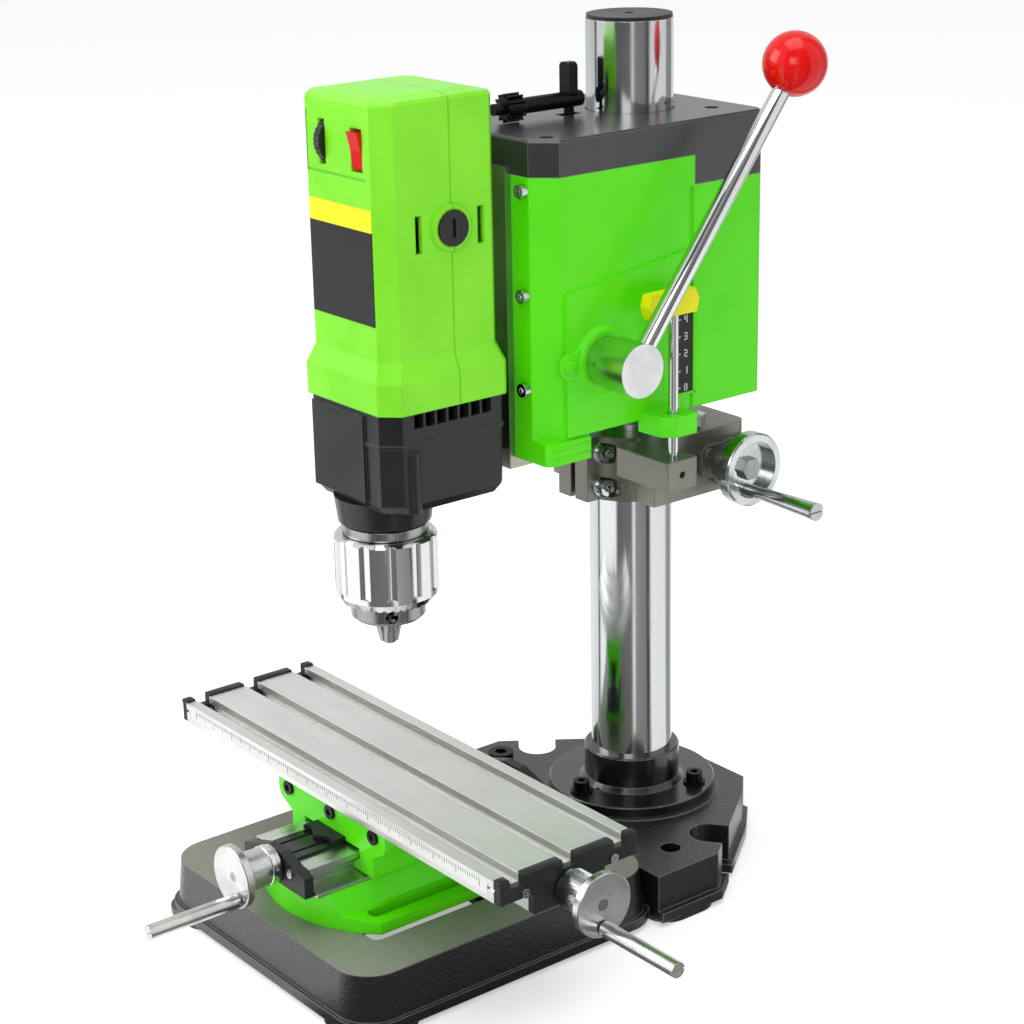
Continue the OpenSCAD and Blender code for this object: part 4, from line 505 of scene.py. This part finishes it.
def painted_solids(colours, sizes):
    """Each paint, and the solids that it covers."""
    green = sprayed_enamel("sprayed_green_enamel", colours.enamel_green, GREEN_SHADE)
    yellow = sprayed_enamel("yellow_enamel", colours.pointer_yellow, "#FFF404")
    # 262728 is painted shade in the coat's crevices, and the corners get a painted highlight and wear
    cover = crackle_paint(
        "textured_grey_powder_coat", colours.cover_grey, "#262728", crackle_mm=0.9, depth_mm=0.06
    )
    base = casting_with_machined_pad(colours.base_black, colours.pad_grey, sizes.pad_height)
    flange = sprayed_enamel("gloss_black_enamel", "#0E0F10", "#090A0A", coat=0.9)
    # The light grey corners of the black flange are a painted highlight, and partly wear
    bright_edges(flange, "#A8AAA9", width_mm=0.9, share=0.8)
    return {
        green: ("head_housing", "slide_base", "saddle"),
        yellow: ("depth_pointer",),
        cover: ("head_cover",),
        base: ("base_casting",),
        flange: ("column_flange",),
    }


def moulded_solids(colours):
    """Each plastic or rubber, and the solids made of it."""
    lime = moulded_plastic(
        "moulded_lime_abs", colours.case_lime, "#82EA24", 0.30, grain_mm=0.9, depth_mm=0.012, edge_mm=1.6
    )
    black = moulded_plastic("moulded_black_abs", "#232525", "#1A1B1B", 0.40, grain_mm=0.8, depth_mm=0.03)
    gearbox = moulded_plastic(
        "satin_black_gearbox_abs", "#232525", "#1A1B1B", 0.28, grain_mm=0.8, depth_mm=0.02, edge_mm=1.2
    )
    # The grey corners of the gearbox are a painted highlight, and partly wear
    bright_edges(gearbox, "#5E6060", width_mm=1.0, share=0.6)
    gloss = moulded_plastic("gloss_black_abs", "#1A1B1C", "#141515", 0.25, grain_mm=0.9, depth_mm=0.01)
    ball = moulded_plastic(
        "gloss_red_phenolic", colours.ball_red, "#D60808", 0.12, grain_mm=1.5, depth_mm=0.004, edge_mm=0.5
    )
    rubber = moulded_plastic("moulded_rubber", "#202121", "#181919", 0.55, grain_mm=0.7, depth_mm=0.05)
    return {
        lime: ("motor_case_front", "motor_case_rear"),
        black: ("y_end_plates", "table_end_caps", "column_cap", "speed_dial"),
        gearbox: ("gearbox",),
        gloss: ("brush_caps", "rail_cover"),
        ball: ("feed_knob", "power_switch"),
        rubber: ("way_wiper", "cable_gland"),
    }


def milled_solids():
    """Each milled, drawn or ground metal, and the solids made of it."""
    grey = machined_metal(
        "gunmetal_phosphated_steel", "#8C8A82", "#787670", 0.34, "X", pitch_mm=0.9, edge_mm=1.2, metallic=0.85
    )
    table = machined_metal("extruded_aluminium", "#EDEEEB", "#E4E5E2", 0.42, "X", pitch_mm=1.6)
    rail = machined_metal("milled_aluminium", "#D8D9D6", "#BFC0BC", 0.28, "Y", pitch_mm=0.8)
    plate = machined_metal("bare_steel_plate", "#B9B8AD", "#A3A297", 0.35, "Z", pitch_mm=0.9)
    steel = machined_metal("ground_steel", "#A9ABAC", "#86888A", 0.25, "Z", pitch_mm=0.6)
    oxide = machined_metal(
        "black_oxide_steel", "#2B2C2D", "#1C1D1E", 0.33, "Z", pitch_mm=0.8, edge_mm=0.3, metallic=0.9
    )
    bronze = machined_metal("bronze", "#A9743A", "#8A5C2B", 0.35, "Z", pitch_mm=0.8)
    gears = ("column_rack", "feed_rack", "lift_pinion", "x_screw", "y_screw", "motor_field")
    chuck = ("spindle", "spindle_bearings", "chuck_body", "jaw_a", "jaw_b", "jaw_c")
    return {
        grey: ("carriage_collar", "lift_flange"),
        table: ("table_plate",),
        rail: ("y_rail",),
        plate: ("motor_plate",),
        steel: gears + chuck,
        oxide: ("flange_bolts", "base_bolts", "gib_screws", "chuck_key"),
        bronze: ("lead_nuts", "rotor"),
    }


def turned_and_chromed_solids():
    """Each turned or chromed metal, and the solids made of it."""
    right = turned_metal("turned_aluminium_right", "#DADBD8", "#BFC1BF", 0.22, "X", centre_of("x_turn"))
    front = turned_metal("turned_aluminium_front", "#DADBD8", "#BFC1BF", 0.22, "Y", centre_of("y_turn"))
    hub = turned_metal("turned_aluminium_hub", "#DADCDB", "#C6C8C7", 0.24, "X", centre_of("lever_turn"))
    lift = turned_metal("turned_chromed_wheel", "#CDD0D1", "#A9ACAD", 0.14, "X", centre_of("lift_turn"))
    hard = polished_chrome("hard_chrome", "#C9CCCE", 0.08)
    bright = polished_chrome("bright_chrome", "#D6D8D9", 0.06)
    screws = ("head_screws", "y_plate_screws", "table_cap_screws", "clamp_bolts")
    return {
        right: ("x_wheel", "x_grip"),
        front: ("y_wheel", "y_grip"),
        hub: ("feed_hub",),
        lift: ("lift_wheel", "lift_grip"),
        hard: ("column_tube", "lock_nut") + screws,
        bright: ("feed_rod", "depth_rod", "chuck_sleeve"),
    }


class DRILLMILL_OT_finishes(bpy.types.Operator):
    """Gives every solid of the machine its procedural material"""

    bl_idname = "drillmill.finishes"
    bl_label = "Finish the solids"

    def execute(self, context):
        colours, sizes = context.scene.drill_mill_colours, context.scene.drill_mill_sizes
        finishes = {
            **painted_solids(colours, sizes),
            **moulded_solids(colours),
            **milled_solids(),
            **turned_and_chromed_solids(),
        }
        for material, names in finishes.items():
            for name in names:
                mesh = FRAME["nodes"][name].data
                mesh.materials.clear()
                mesh.materials.append(material)
                for face in mesh.polygons:
                    face.material_index = 0
        return {"FINISHED"}


# The pieces of trim

# How far the depth scale's strip reaches along Y and Z on the side of the head
SCALE_Y, SCALE_Z = (-18.4, -4.6), (301.5, 360.0)


class DRILLMILL_OT_motor_plate(bpy.types.Operator):
    """Sticks the bare black and yellow plate on the motor case"""

    bl_idname = "drillmill.motor_plate"
    bl_label = "Motor plate"

    def execute(self, context):
        black = printed_film("printed_black_label", "#191A1A", "#131414")
        yellow = printed_film("printed_yellow_label", "#FFF80C", "#FFF004")
        # The flat of the case lies 4 mm behind its flared foot
        flat = corners("motor_case_front")[0].y + 4.0
        side, sunk, rounding = 28.6, 0.2, 0.15
        labels = (
            ("label_black", 0.4, 366.5, 417.2, black, "black_plastic"),
            ("label_yellow", 0.45, 416.6, 428.5, yellow, "yellow_metal"),
        )
        for name, proud, low, high, film, slot in labels:
            strip(name, (-side, flat - proud, low), (side, flat + sunk, high), rounding, film, "head")
        return {"FINISHED"}


class DRILLMILL_OT_table_trim(bpy.types.Operator):
    """Adds the ruler strip and its ticks, and the raised lips of the end caps"""

    bl_idname = "drillmill.table_trim"
    bl_label = "Table trim"

    def execute(self, context):
        sizes = context.scene.drill_mill_sizes
        paper = printed_film("printed_white_strip", "#F1F2EF", "#E4E6E2", 0.4, grain_mm=1.2, edge_mm=0.1)
        ink = printed_film(
            "printed_black_ticks", "#1A1B1B", "#141515", 0.45, grain_mm=1.2, depth_mm=0.003, edge_mm=0.05
        )
        caps = moulded_plastic("moulded_black_caps", "#232525", "#1A1B1B", 0.36, grain_mm=0.8, depth_mm=0.02)
        low, high = corners("table_plate")

        end_gap, wide = 5.45, 6.8
        top = high.z - 2.0
        strip(
            "ruler_strip",
            (low.x + end_gap, low.y - 0.25, top - wide),
            (high.x - end_gap, low.y + 0.2, top),
            0.1,
            paper,
            "work_table",
        )

        first, half_tick = low.x + 11.75, 0.18
        tallest, middle, shortest = 4.4, 3.0, 1.9

        def ticks(shape):
            for number in range(sizes.ruler_ticks):
                tall = tallest if number % 10 == 0 else middle if number % 5 == 0 else shortest
                x = first + number * sizes.ruler_step / MM
                block(shape, (x - half_tick, low.y - 0.32, top - tall), (x + half_tick, low.y - 0.1, top))

        piece("ruler_ticks", ticks, ink, "work_table")

        slot_pitch, half_opening, lip_length = 35.0, 4.9, 6.4
        slots = [(low.y + high.y) / 2 + slot_pitch * place for place in (-1, 0, 1)]
        openings = [slot + half for slot in slots for half in (-half_opening, half_opening)]
        sides = [low.y + 0.2, *openings, high.y - 0.2]

        def lips(shape):
            for x in (low.x - 6.05, high.x - 0.95):
                for y0, y1 in zip(sides[::2], sides[1::2]):
                    block(shape, (x, y0, high.z - 1.6), (x + lip_length, y1, high.z + 1.3), 0.9)

        piece("end_cap_lips", lips, caps, "work_table", 40)
        return {"FINISHED"}


class DRILLMILL_OT_depth_scale(bpy.types.Operator):
    """Lays the black strip of the depth scale on the head, with its ticks and plain numerals"""

    bl_idname = "drillmill.depth_scale"
    bl_label = "Depth scale"

    def execute(self, context):
        black = printed_film("anodised_black_scale", "#141515", "#0E0F0F", 0.4, grain_mm=1.2, edge_mm=0.1)
        white = printed_film(
            "printed_white_marks", "#F4F5F2", "#E8EAE6", 0.45, grain_mm=1.2, depth_mm=0.002, edge_mm=0.05
        )
        side = head_side()
        low, high = (side - 0.1, SCALE_Y[0], SCALE_Z[0]), (side + 0.3, SCALE_Y[1], SCALE_Z[1])
        strip("scale_strip", low, high, 0.1, black, "head")

        ink = (side + 0.2, side + 0.38)
        zero, step, last = SCALE_Z[0] + 3.0, 10.0, 5
        left = SCALE_Y[0] + 1.0
        long_end, short_end = left + 3.4, left + 1.6
        numeral_left, numeral_height = left + 6.2, 4.4

        def marks(shape):
            for number in range(last + 1):
                z = zero + step * number
                block(shape, (ink[0], left, z - 0.3), (ink[1], long_end, z + 0.3))
                numeral(shape, number, numeral_left, z - numeral_height / 2, numeral_height, ink)
                for part in range(1, 5 if number < last else 1):
                    fine = z + step / 5 * part
                    block(shape, (ink[0], left, fine - 0.15), (ink[1], short_end, fine + 0.15))

        piece("scale_marks", marks, white, "head")
        return {"FINISHED"}


class DRILLMILL_OT_wheel_trim(bpy.types.Operator):
    """Knurls the right wheel's hub and puts a bright band on the front one"""

    bl_idname = "drillmill.wheel_trim"
    bl_label = "Hand wheel trim"

    def execute(self, context):
        right, front = centre_of("x_turn"), centre_of("y_turn")
        knurled = turned_metal("straight_knurled_aluminium", "#C9CBC9", "#9EA19F", 0.25, "X", right)
        valley, crest, knurl_long = 10.6, 11.35, 17.4
        ring = ridged_ring(context.scene.drill_mill_sizes.knurl_ridges, valley, crest)
        start = right + 2.15 * AXES["X"]

        def knurl(shape):
            prism(shape, ring, "X", start, knurl_long)

        piece("x_hub_knurl", knurl, knurled, "x_drive")

        bright = polished_chrome("bright_turned_band", "#E6E7E7", 0.08)
        inside, foot, outside, wide = 10.4, 11.0, 11.5, 4.0
        near = [(inside, 0.0), (foot, 0.0), (outside, 0.5)]
        far = [(outside, wide - 0.5), (foot, wide), (inside, wide)]
        ahead = front + 2.5 * AXES["-Y"]

        def band(shape):
            lathe(shape, near + far + near[:1], "-Y", ahead)

        piece("y_hub_band", band, bright, "y_drive", 30)
        return {"FINISHED"}


class DRILLMILL_OT_feed_lever(bpy.types.Operator):
    """Gives the feed lever its thick chromed rod with a turned shoulder at the hub"""

    bl_idname = "drillmill.feed_lever"
    bl_label = "Feed lever"

    def execute(self, context):
        sizes = context.scene.drill_mill_sizes
        chrome = polished_chrome("bright_chrome_lever", "#DADCDD", 0.06)
        pivot = centre_of("lever_turn") + 85.7 * AXES["X"]
        place = Matrix.Translation(pivot * MM) @ Matrix.Rotation(-sizes.lever_lean, 4, "X")
        radius, start, end = sizes.lever_thickness / MM / 2, 9.0, 180.0

        def rod(shape):
            shoulder, tip = radius - 0.7, radius - 0.9
            lower = [(0.0, start), (shoulder, start), (radius, start + 1.5)]
            upper = [(radius, end - 2.0), (tip, end), (0.0, end)]
            lathe(shape, lower + upper, "Z", (0.0, 0.0, 0.0), 48)
            bmesh.ops.transform(shape, verts=shape.verts, matrix=place)

        made = piece("lever_rod", rod, chrome, "feed_lever", 30)
        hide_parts("feed_rod")
        return {"FINISHED"}


class DRILLMILL_OT_head_trim(bpy.types.Operator):
    """Adds the ledge under the head, the lobe of the feed boss and the frame of the scale"""

    bl_idname = "drillmill.head_trim"
    bl_label = "Head trim"

    @staticmethod
    def ledge(shape):
        """A thicker rim round the lower front of the head, with two raised lines on its side."""
        half, back, front = head_side() + 0.8, -81.0, -111.3
        low, tall = 277.2, 12.8
        cut_side, cut_front = 3.4, 3.7
        right = [(half - cut_side, front), (half, front + cut_front), (half, back)]
        outline = [(-x, y) for x, y in reversed(right)] + right
        prism(shape, outline, "Z", (0.0, 0.0, low), tall, 1.0)
        for z in (low + 3.4, low + 8.6):
            block(shape, (half - 2.8, front + 4.5, z), (half + 0.6, back - 0.2, z + 1.3), 0.5)

    @staticmethod
    def lobe(shape):
        """A raised flange round the feed boss, drawn out to a screw at the front."""
        side, sunk, proud = head_side(), 0.6, 2.0
        boss, screw, screw_cap = (-73.0, 333.0), (-95.5, 332.0), (-96.4, 332.2)
        outline = arc(boss, 19.5, -72, 72) + arc(screw, 7.8, 72, 288)
        prism(shape, outline, "X", (side - sunk, 0.0, 0.0), sunk + proud, 1.1)
        crown = [(0.0, 0.0), (4.2, 0.0), (4.2, 1.4), (3.4, 2.1), (0.0, 2.3)]
        lathe(shape, crown, "X", (side + proud, *screw_cap), 32)

    @staticmethod
    def scale_frame(shape):
        """A panel that fills the scale's recess, and a raised rim round the strip."""
        side = head_side()
        recess_y, recess_z = (-27.4, -12.6), (302.6, 362.4)
        block(shape, (side - 1.6, recess_y[0], recess_z[0]), (side + 0.02, recess_y[1], recess_z[1]), 0.05)
        overlap = 0.1
        outer_y, outer_z = (-20.0, -3.0), (300.0, 361.6)
        inner_y = (SCALE_Y[0] + overlap, SCALE_Y[1] - overlap)
        inner_z = (SCALE_Z[0] + overlap, SCALE_Z[1] - overlap)
        rails = (
            (outer_y[0], outer_z[0], inner_y[0], outer_z[1]),
            (inner_y[1], outer_z[0], outer_y[1], outer_z[1]),
            (outer_y[0], outer_z[0], outer_y[1], inner_z[0]),
            (outer_y[0], inner_z[1], outer_y[1], outer_z[1]),
        )
        for y0, z0, y1, z1 in rails:
            block(shape, (side - 0.6, y0, z0), (side + 1.1, y1, z1), 0.4)

    def execute(self, context):
        colours = context.scene.drill_mill_colours
        green = sprayed_enamel("sprayed_green_trim", colours.enamel_green, GREEN_SHADE)
        trims = (("head_ledge", self.ledge), ("feed_boss_lobe", self.lobe), ("scale_frame", self.scale_frame))
        for name, builder in trims:
            piece(name, builder, green, "head", 40)
        return {"FINISHED"}


class DRILLMILL_OT_clamp_trim(bpy.types.Operator):
    """Lays bright washers under the clamp bolts of the collar"""

    bl_idname = "drillmill.clamp_trim"
    bl_label = "Clamp washers"

    def execute(self, context):
        zinc = polished_chrome("bright_zinc_washer", "#D4D6D6", 0.16)
        low, high = corners("clamp_bolts")
        hole, rim, thick = 4.9, 6.6, 1.2
        profile = [(hole, 0.0), (rim, 0.0), (rim, 0.9), (rim - 0.4, thick), (hole, thick), (hole, 0.0)]
        bolt_radius, bolt_pitch = 5.0, 21.0
        for number in range(2):
            height = low.z + bolt_radius + bolt_pitch * number
            seat = (high.x - 6.0, (low.y + high.y) / 2, height)
            name = f"clamp_washer_{number + 1}"
            piece(name, lambda shape: lathe(shape, profile, "X", seat), zinc, "carriage", 30)
        return {"FINISHED"}


# The studio

# Bearings in degrees and how bright the studio is there: windows, with dark screens between them
SCREENS = (
    (-180, 0.9), (-175, 0.9), (-145, 0.8), (-141, 0.03), (-138, 0.03), (-134, 1.0), (-84, 1.0), (-78, 0.1),
    (-40, 0.14), (-34, 0.85), (-31, 0.85), (-28, 0.28), (0, 0.22), (3, 0.05), (9, 0.05), (16, 1.0), (66, 1.0),
    (72, 0.35), (96, 0.3), (102, 0.95), (116, 0.95), (124, 0.8), (180, 0.8),
)

# Each lamp's place in metres, its width in metres and its power in watts
LAMPS = {
    "left_window": ((-1.5, -1.9, 1.5), 1.5, 26.0),
    "front_window": ((1.7, -2.0, 1.3), 1.1, 13.0),
    "overhead": ((0.2, -0.2, 2.2), 1.4, 15.0),
}
LAMPS_AIM = Vector((0, -0.1, 0.25))

# The camera's place, bearing, height and roll, found from the photo's parallel edges
CAMERA_PLACE = Vector((1.01658, -0.88539, 0.67225))
CAMERA_YAW = math.radians(51.998)
CAMERA_PITCH = math.radians(18.828)
CAMERA_ROLL = -0.0203
CAMERA_LENS = 82.79


def screens(tree, place, only_for):
    """The studio's brightness by bearing: only polished metal sees it, as streaks."""
    bearing = add(tree, "ShaderNodeTexGradient", {"gradient_type": "RADIAL"}, {"Vector": place})
    ramp = add(tree, "ShaderNodeValToRGB", links={0: bearing.outputs[1]})
    stops = ramp.color_ramp.elements
    first, *between, last = [(degrees / 360 + 0.5, (shade, shade, shade, 1)) for degrees, shade in SCREENS]
    stops[0].color, stops[1].color = first[1], last[1]
    for position, grey in between:
        stops.new(position).color = grey
    others = {"data_type": "RGBA", COLOUR_A: linear("#FFFFFF")}
    picked = add(tree, "ShaderNodeMix", others, {FACTOR: only_for, COLOUR_B: ramp.outputs[0]})
    return picked.outputs[COLOUR_OUT]


def seen_directly(tree):
    """Whether the camera or polished metal looks, and whether it is polished metal."""
    path = add(tree, "ShaderNodeLightPath")
    camera, glossy = path.outputs["Is Camera Ray"], path.outputs["Is Glossy Ray"]
    either = add(tree, "ShaderNodeMath", {"operation": "MAXIMUM"}, {0: camera, 1: glossy})
    return either.outputs[0], glossy


def matt_paper(glow):
    """Matt white paper, which the camera and polished metal see a little brighter than the lamps make it."""
    material, tree, shader, place = finish_of("matt_white_paper", 0.0, 0.9)
    seen, glossy = seen_directly(tree)
    paper = screens(tree, place, glossy)
    dimmed = {"data_type": "RGBA", "blend_type": "MULTIPLY", FACTOR: 1.0, COLOUR_B: linear("#F4F4F4")}
    tint = add(tree, "ShaderNodeMix", dimmed, {COLOUR_A: paper})
    tree.links.new(tint.outputs[COLOUR_OUT], shader.inputs["Base Color"])
    strength = add(tree, "ShaderNodeMath", {"operation": "MULTIPLY", 1: glow}, {0: seen})
    tree.links.new(paper, shader.inputs["Emission Color"])
    tree.links.new(strength.outputs[0], shader.inputs["Emission Strength"])
    return material


class DRILLMILL_OT_studio(bpy.types.Operator):
    """Sets the floor, the air, the lamps and the camera"""

    bl_idname = "drillmill.studio"
    bl_label = "Set the studio"

    @staticmethod
    def put(scene, name, data, matrix=None):
        """Puts a new object in the scene, and says which it is."""
        thing = bpy.data.objects.new(name, data)
        if matrix is not None:
            thing.matrix_world = matrix
        scene.collection.objects.link(thing)
        return thing

    def execute(self, context):
        scene = context.scene
        studio = scene.drill_mill_studio
        scene.view_settings.view_transform = "Standard"
        self.lay_floor(scene, studio)
        self.fill_air(scene, studio)
        for name, (spot, size, power) in LAMPS.items():
            lamp = bpy.data.lights.new(name, "AREA")
            lamp.shape = "SQUARE"
            lamp.size = size
            lamp.energy = power * studio.lamp_power
            turn = (LAMPS_AIM - Vector(spot)).to_track_quat("-Z", "Y").to_matrix().to_4x4()
            self.put(scene, name, lamp, Matrix.Translation(spot) @ turn)
        self.set_camera(scene)
        return {"FINISHED"}

    def lay_floor(self, scene, studio):
        """Lays a wide floor of matt paper, which isn't part of the machine."""
        mesh = bpy.data.meshes.new("studio_floor")
        shape = bmesh.new()
        bmesh.ops.create_grid(shape, x_segments=1, y_segments=1, size=studio.floor_size)
        shape.to_mesh(mesh)
        shape.free()
        floor = self.put(scene, "studio_floor", mesh)
        mesh.materials.append(matt_paper(studio.floor_glow))

    def fill_air(self, scene, studio):
        """Lights the machine from all round, and shows polished metal the windows and screens."""
        world = bpy.data.worlds.new("studio_air")
        scene.world = world
        world.use_nodes = True
        sky = world.node_tree
        sky.nodes.clear()
        seen, glossy = seen_directly(sky)
        heading = add(sky, "ShaderNodeTexCoord").outputs["Generated"]
        colour = screens(sky, heading, glossy)
        strength = spread(sky, seen, studio.air_light, studio.air_seen, 0.0, 1.0)
        air = add(sky, "ShaderNodeBackground", links={"Color": colour, "Strength": strength})
        add(sky, "ShaderNodeOutputWorld", links={"Surface": air.outputs[0]})

    def set_camera(self, scene):
        """Looks at the machine from where the photo was taken."""
        level = math.cos(CAMERA_PITCH)
        back = Vector((math.sin(CAMERA_YAW) * level, -math.cos(CAMERA_YAW) * level, math.sin(CAMERA_PITCH)))
        right = Vector((math.cos(CAMERA_YAW), math.sin(CAMERA_YAW), 0))
        up = back.cross(right)
        rolled_right = math.cos(CAMERA_ROLL) * right + math.sin(CAMERA_ROLL) * up
        rolled_up = -math.sin(CAMERA_ROLL) * right + math.cos(CAMERA_ROLL) * up
        data = bpy.data.cameras.new("photo_camera")
        data.lens = CAMERA_LENS
        data.sensor_width = 36.0
        data.clip_end = 100.0
        turn = Matrix((rolled_right, rolled_up, back)).transposed().to_4x4()
        scene.camera = self.put(scene, "photo_camera", data, Matrix.Translation(CAMERA_PLACE) @ turn)


# The panel, and the running of it all


class DRILLMILL_PT_panel(bpy.types.Panel):
    """Lists the machine's pieces and the studio"""

    bl_label = "Drill Mill"
    bl_space_type = "VIEW_3D"
    bl_region_type = "UI"
    bl_category = "Drill Mill"

    def draw(self, context):
        for operator in OPERATORS:
            self.layout.operator(operator.bl_idname)


SETTINGS = {
    "drill_mill_colours": DrillMillColours,
    "drill_mill_sizes": DrillMillSizes,
    "drill_mill_studio": DrillMillStudio,
}

OPERATORS = (
    DRILLMILL_OT_finishes,
    DRILLMILL_OT_motor_plate,
    DRILLMILL_OT_table_trim,
    DRILLMILL_OT_depth_scale,
    DRILLMILL_OT_wheel_trim,
    DRILLMILL_OT_feed_lever,
    DRILLMILL_OT_head_trim,
    DRILLMILL_OT_clamp_trim,
    DRILLMILL_OT_studio,
)


def register():
    for part in (*SETTINGS.values(), *OPERATORS, DRILLMILL_PT_panel):
        bpy.utils.register_class(part)
    for name, group in SETTINGS.items():
        setattr(bpy.types.Scene, name, bpy.props.PointerProperty(type=group))


def unregister():
    for name in SETTINGS:
        delattr(bpy.types.Scene, name)
    for part in (DRILLMILL_PT_panel, *OPERATORS, *SETTINGS.values()):
        bpy.utils.unregister_class(part)


def main():
    register()
    for operator in OPERATORS:
        group, name = operator.bl_idname.split(".")
        getattr(getattr(bpy.ops, group), name)()


if __name__ == "__main__":
    main()
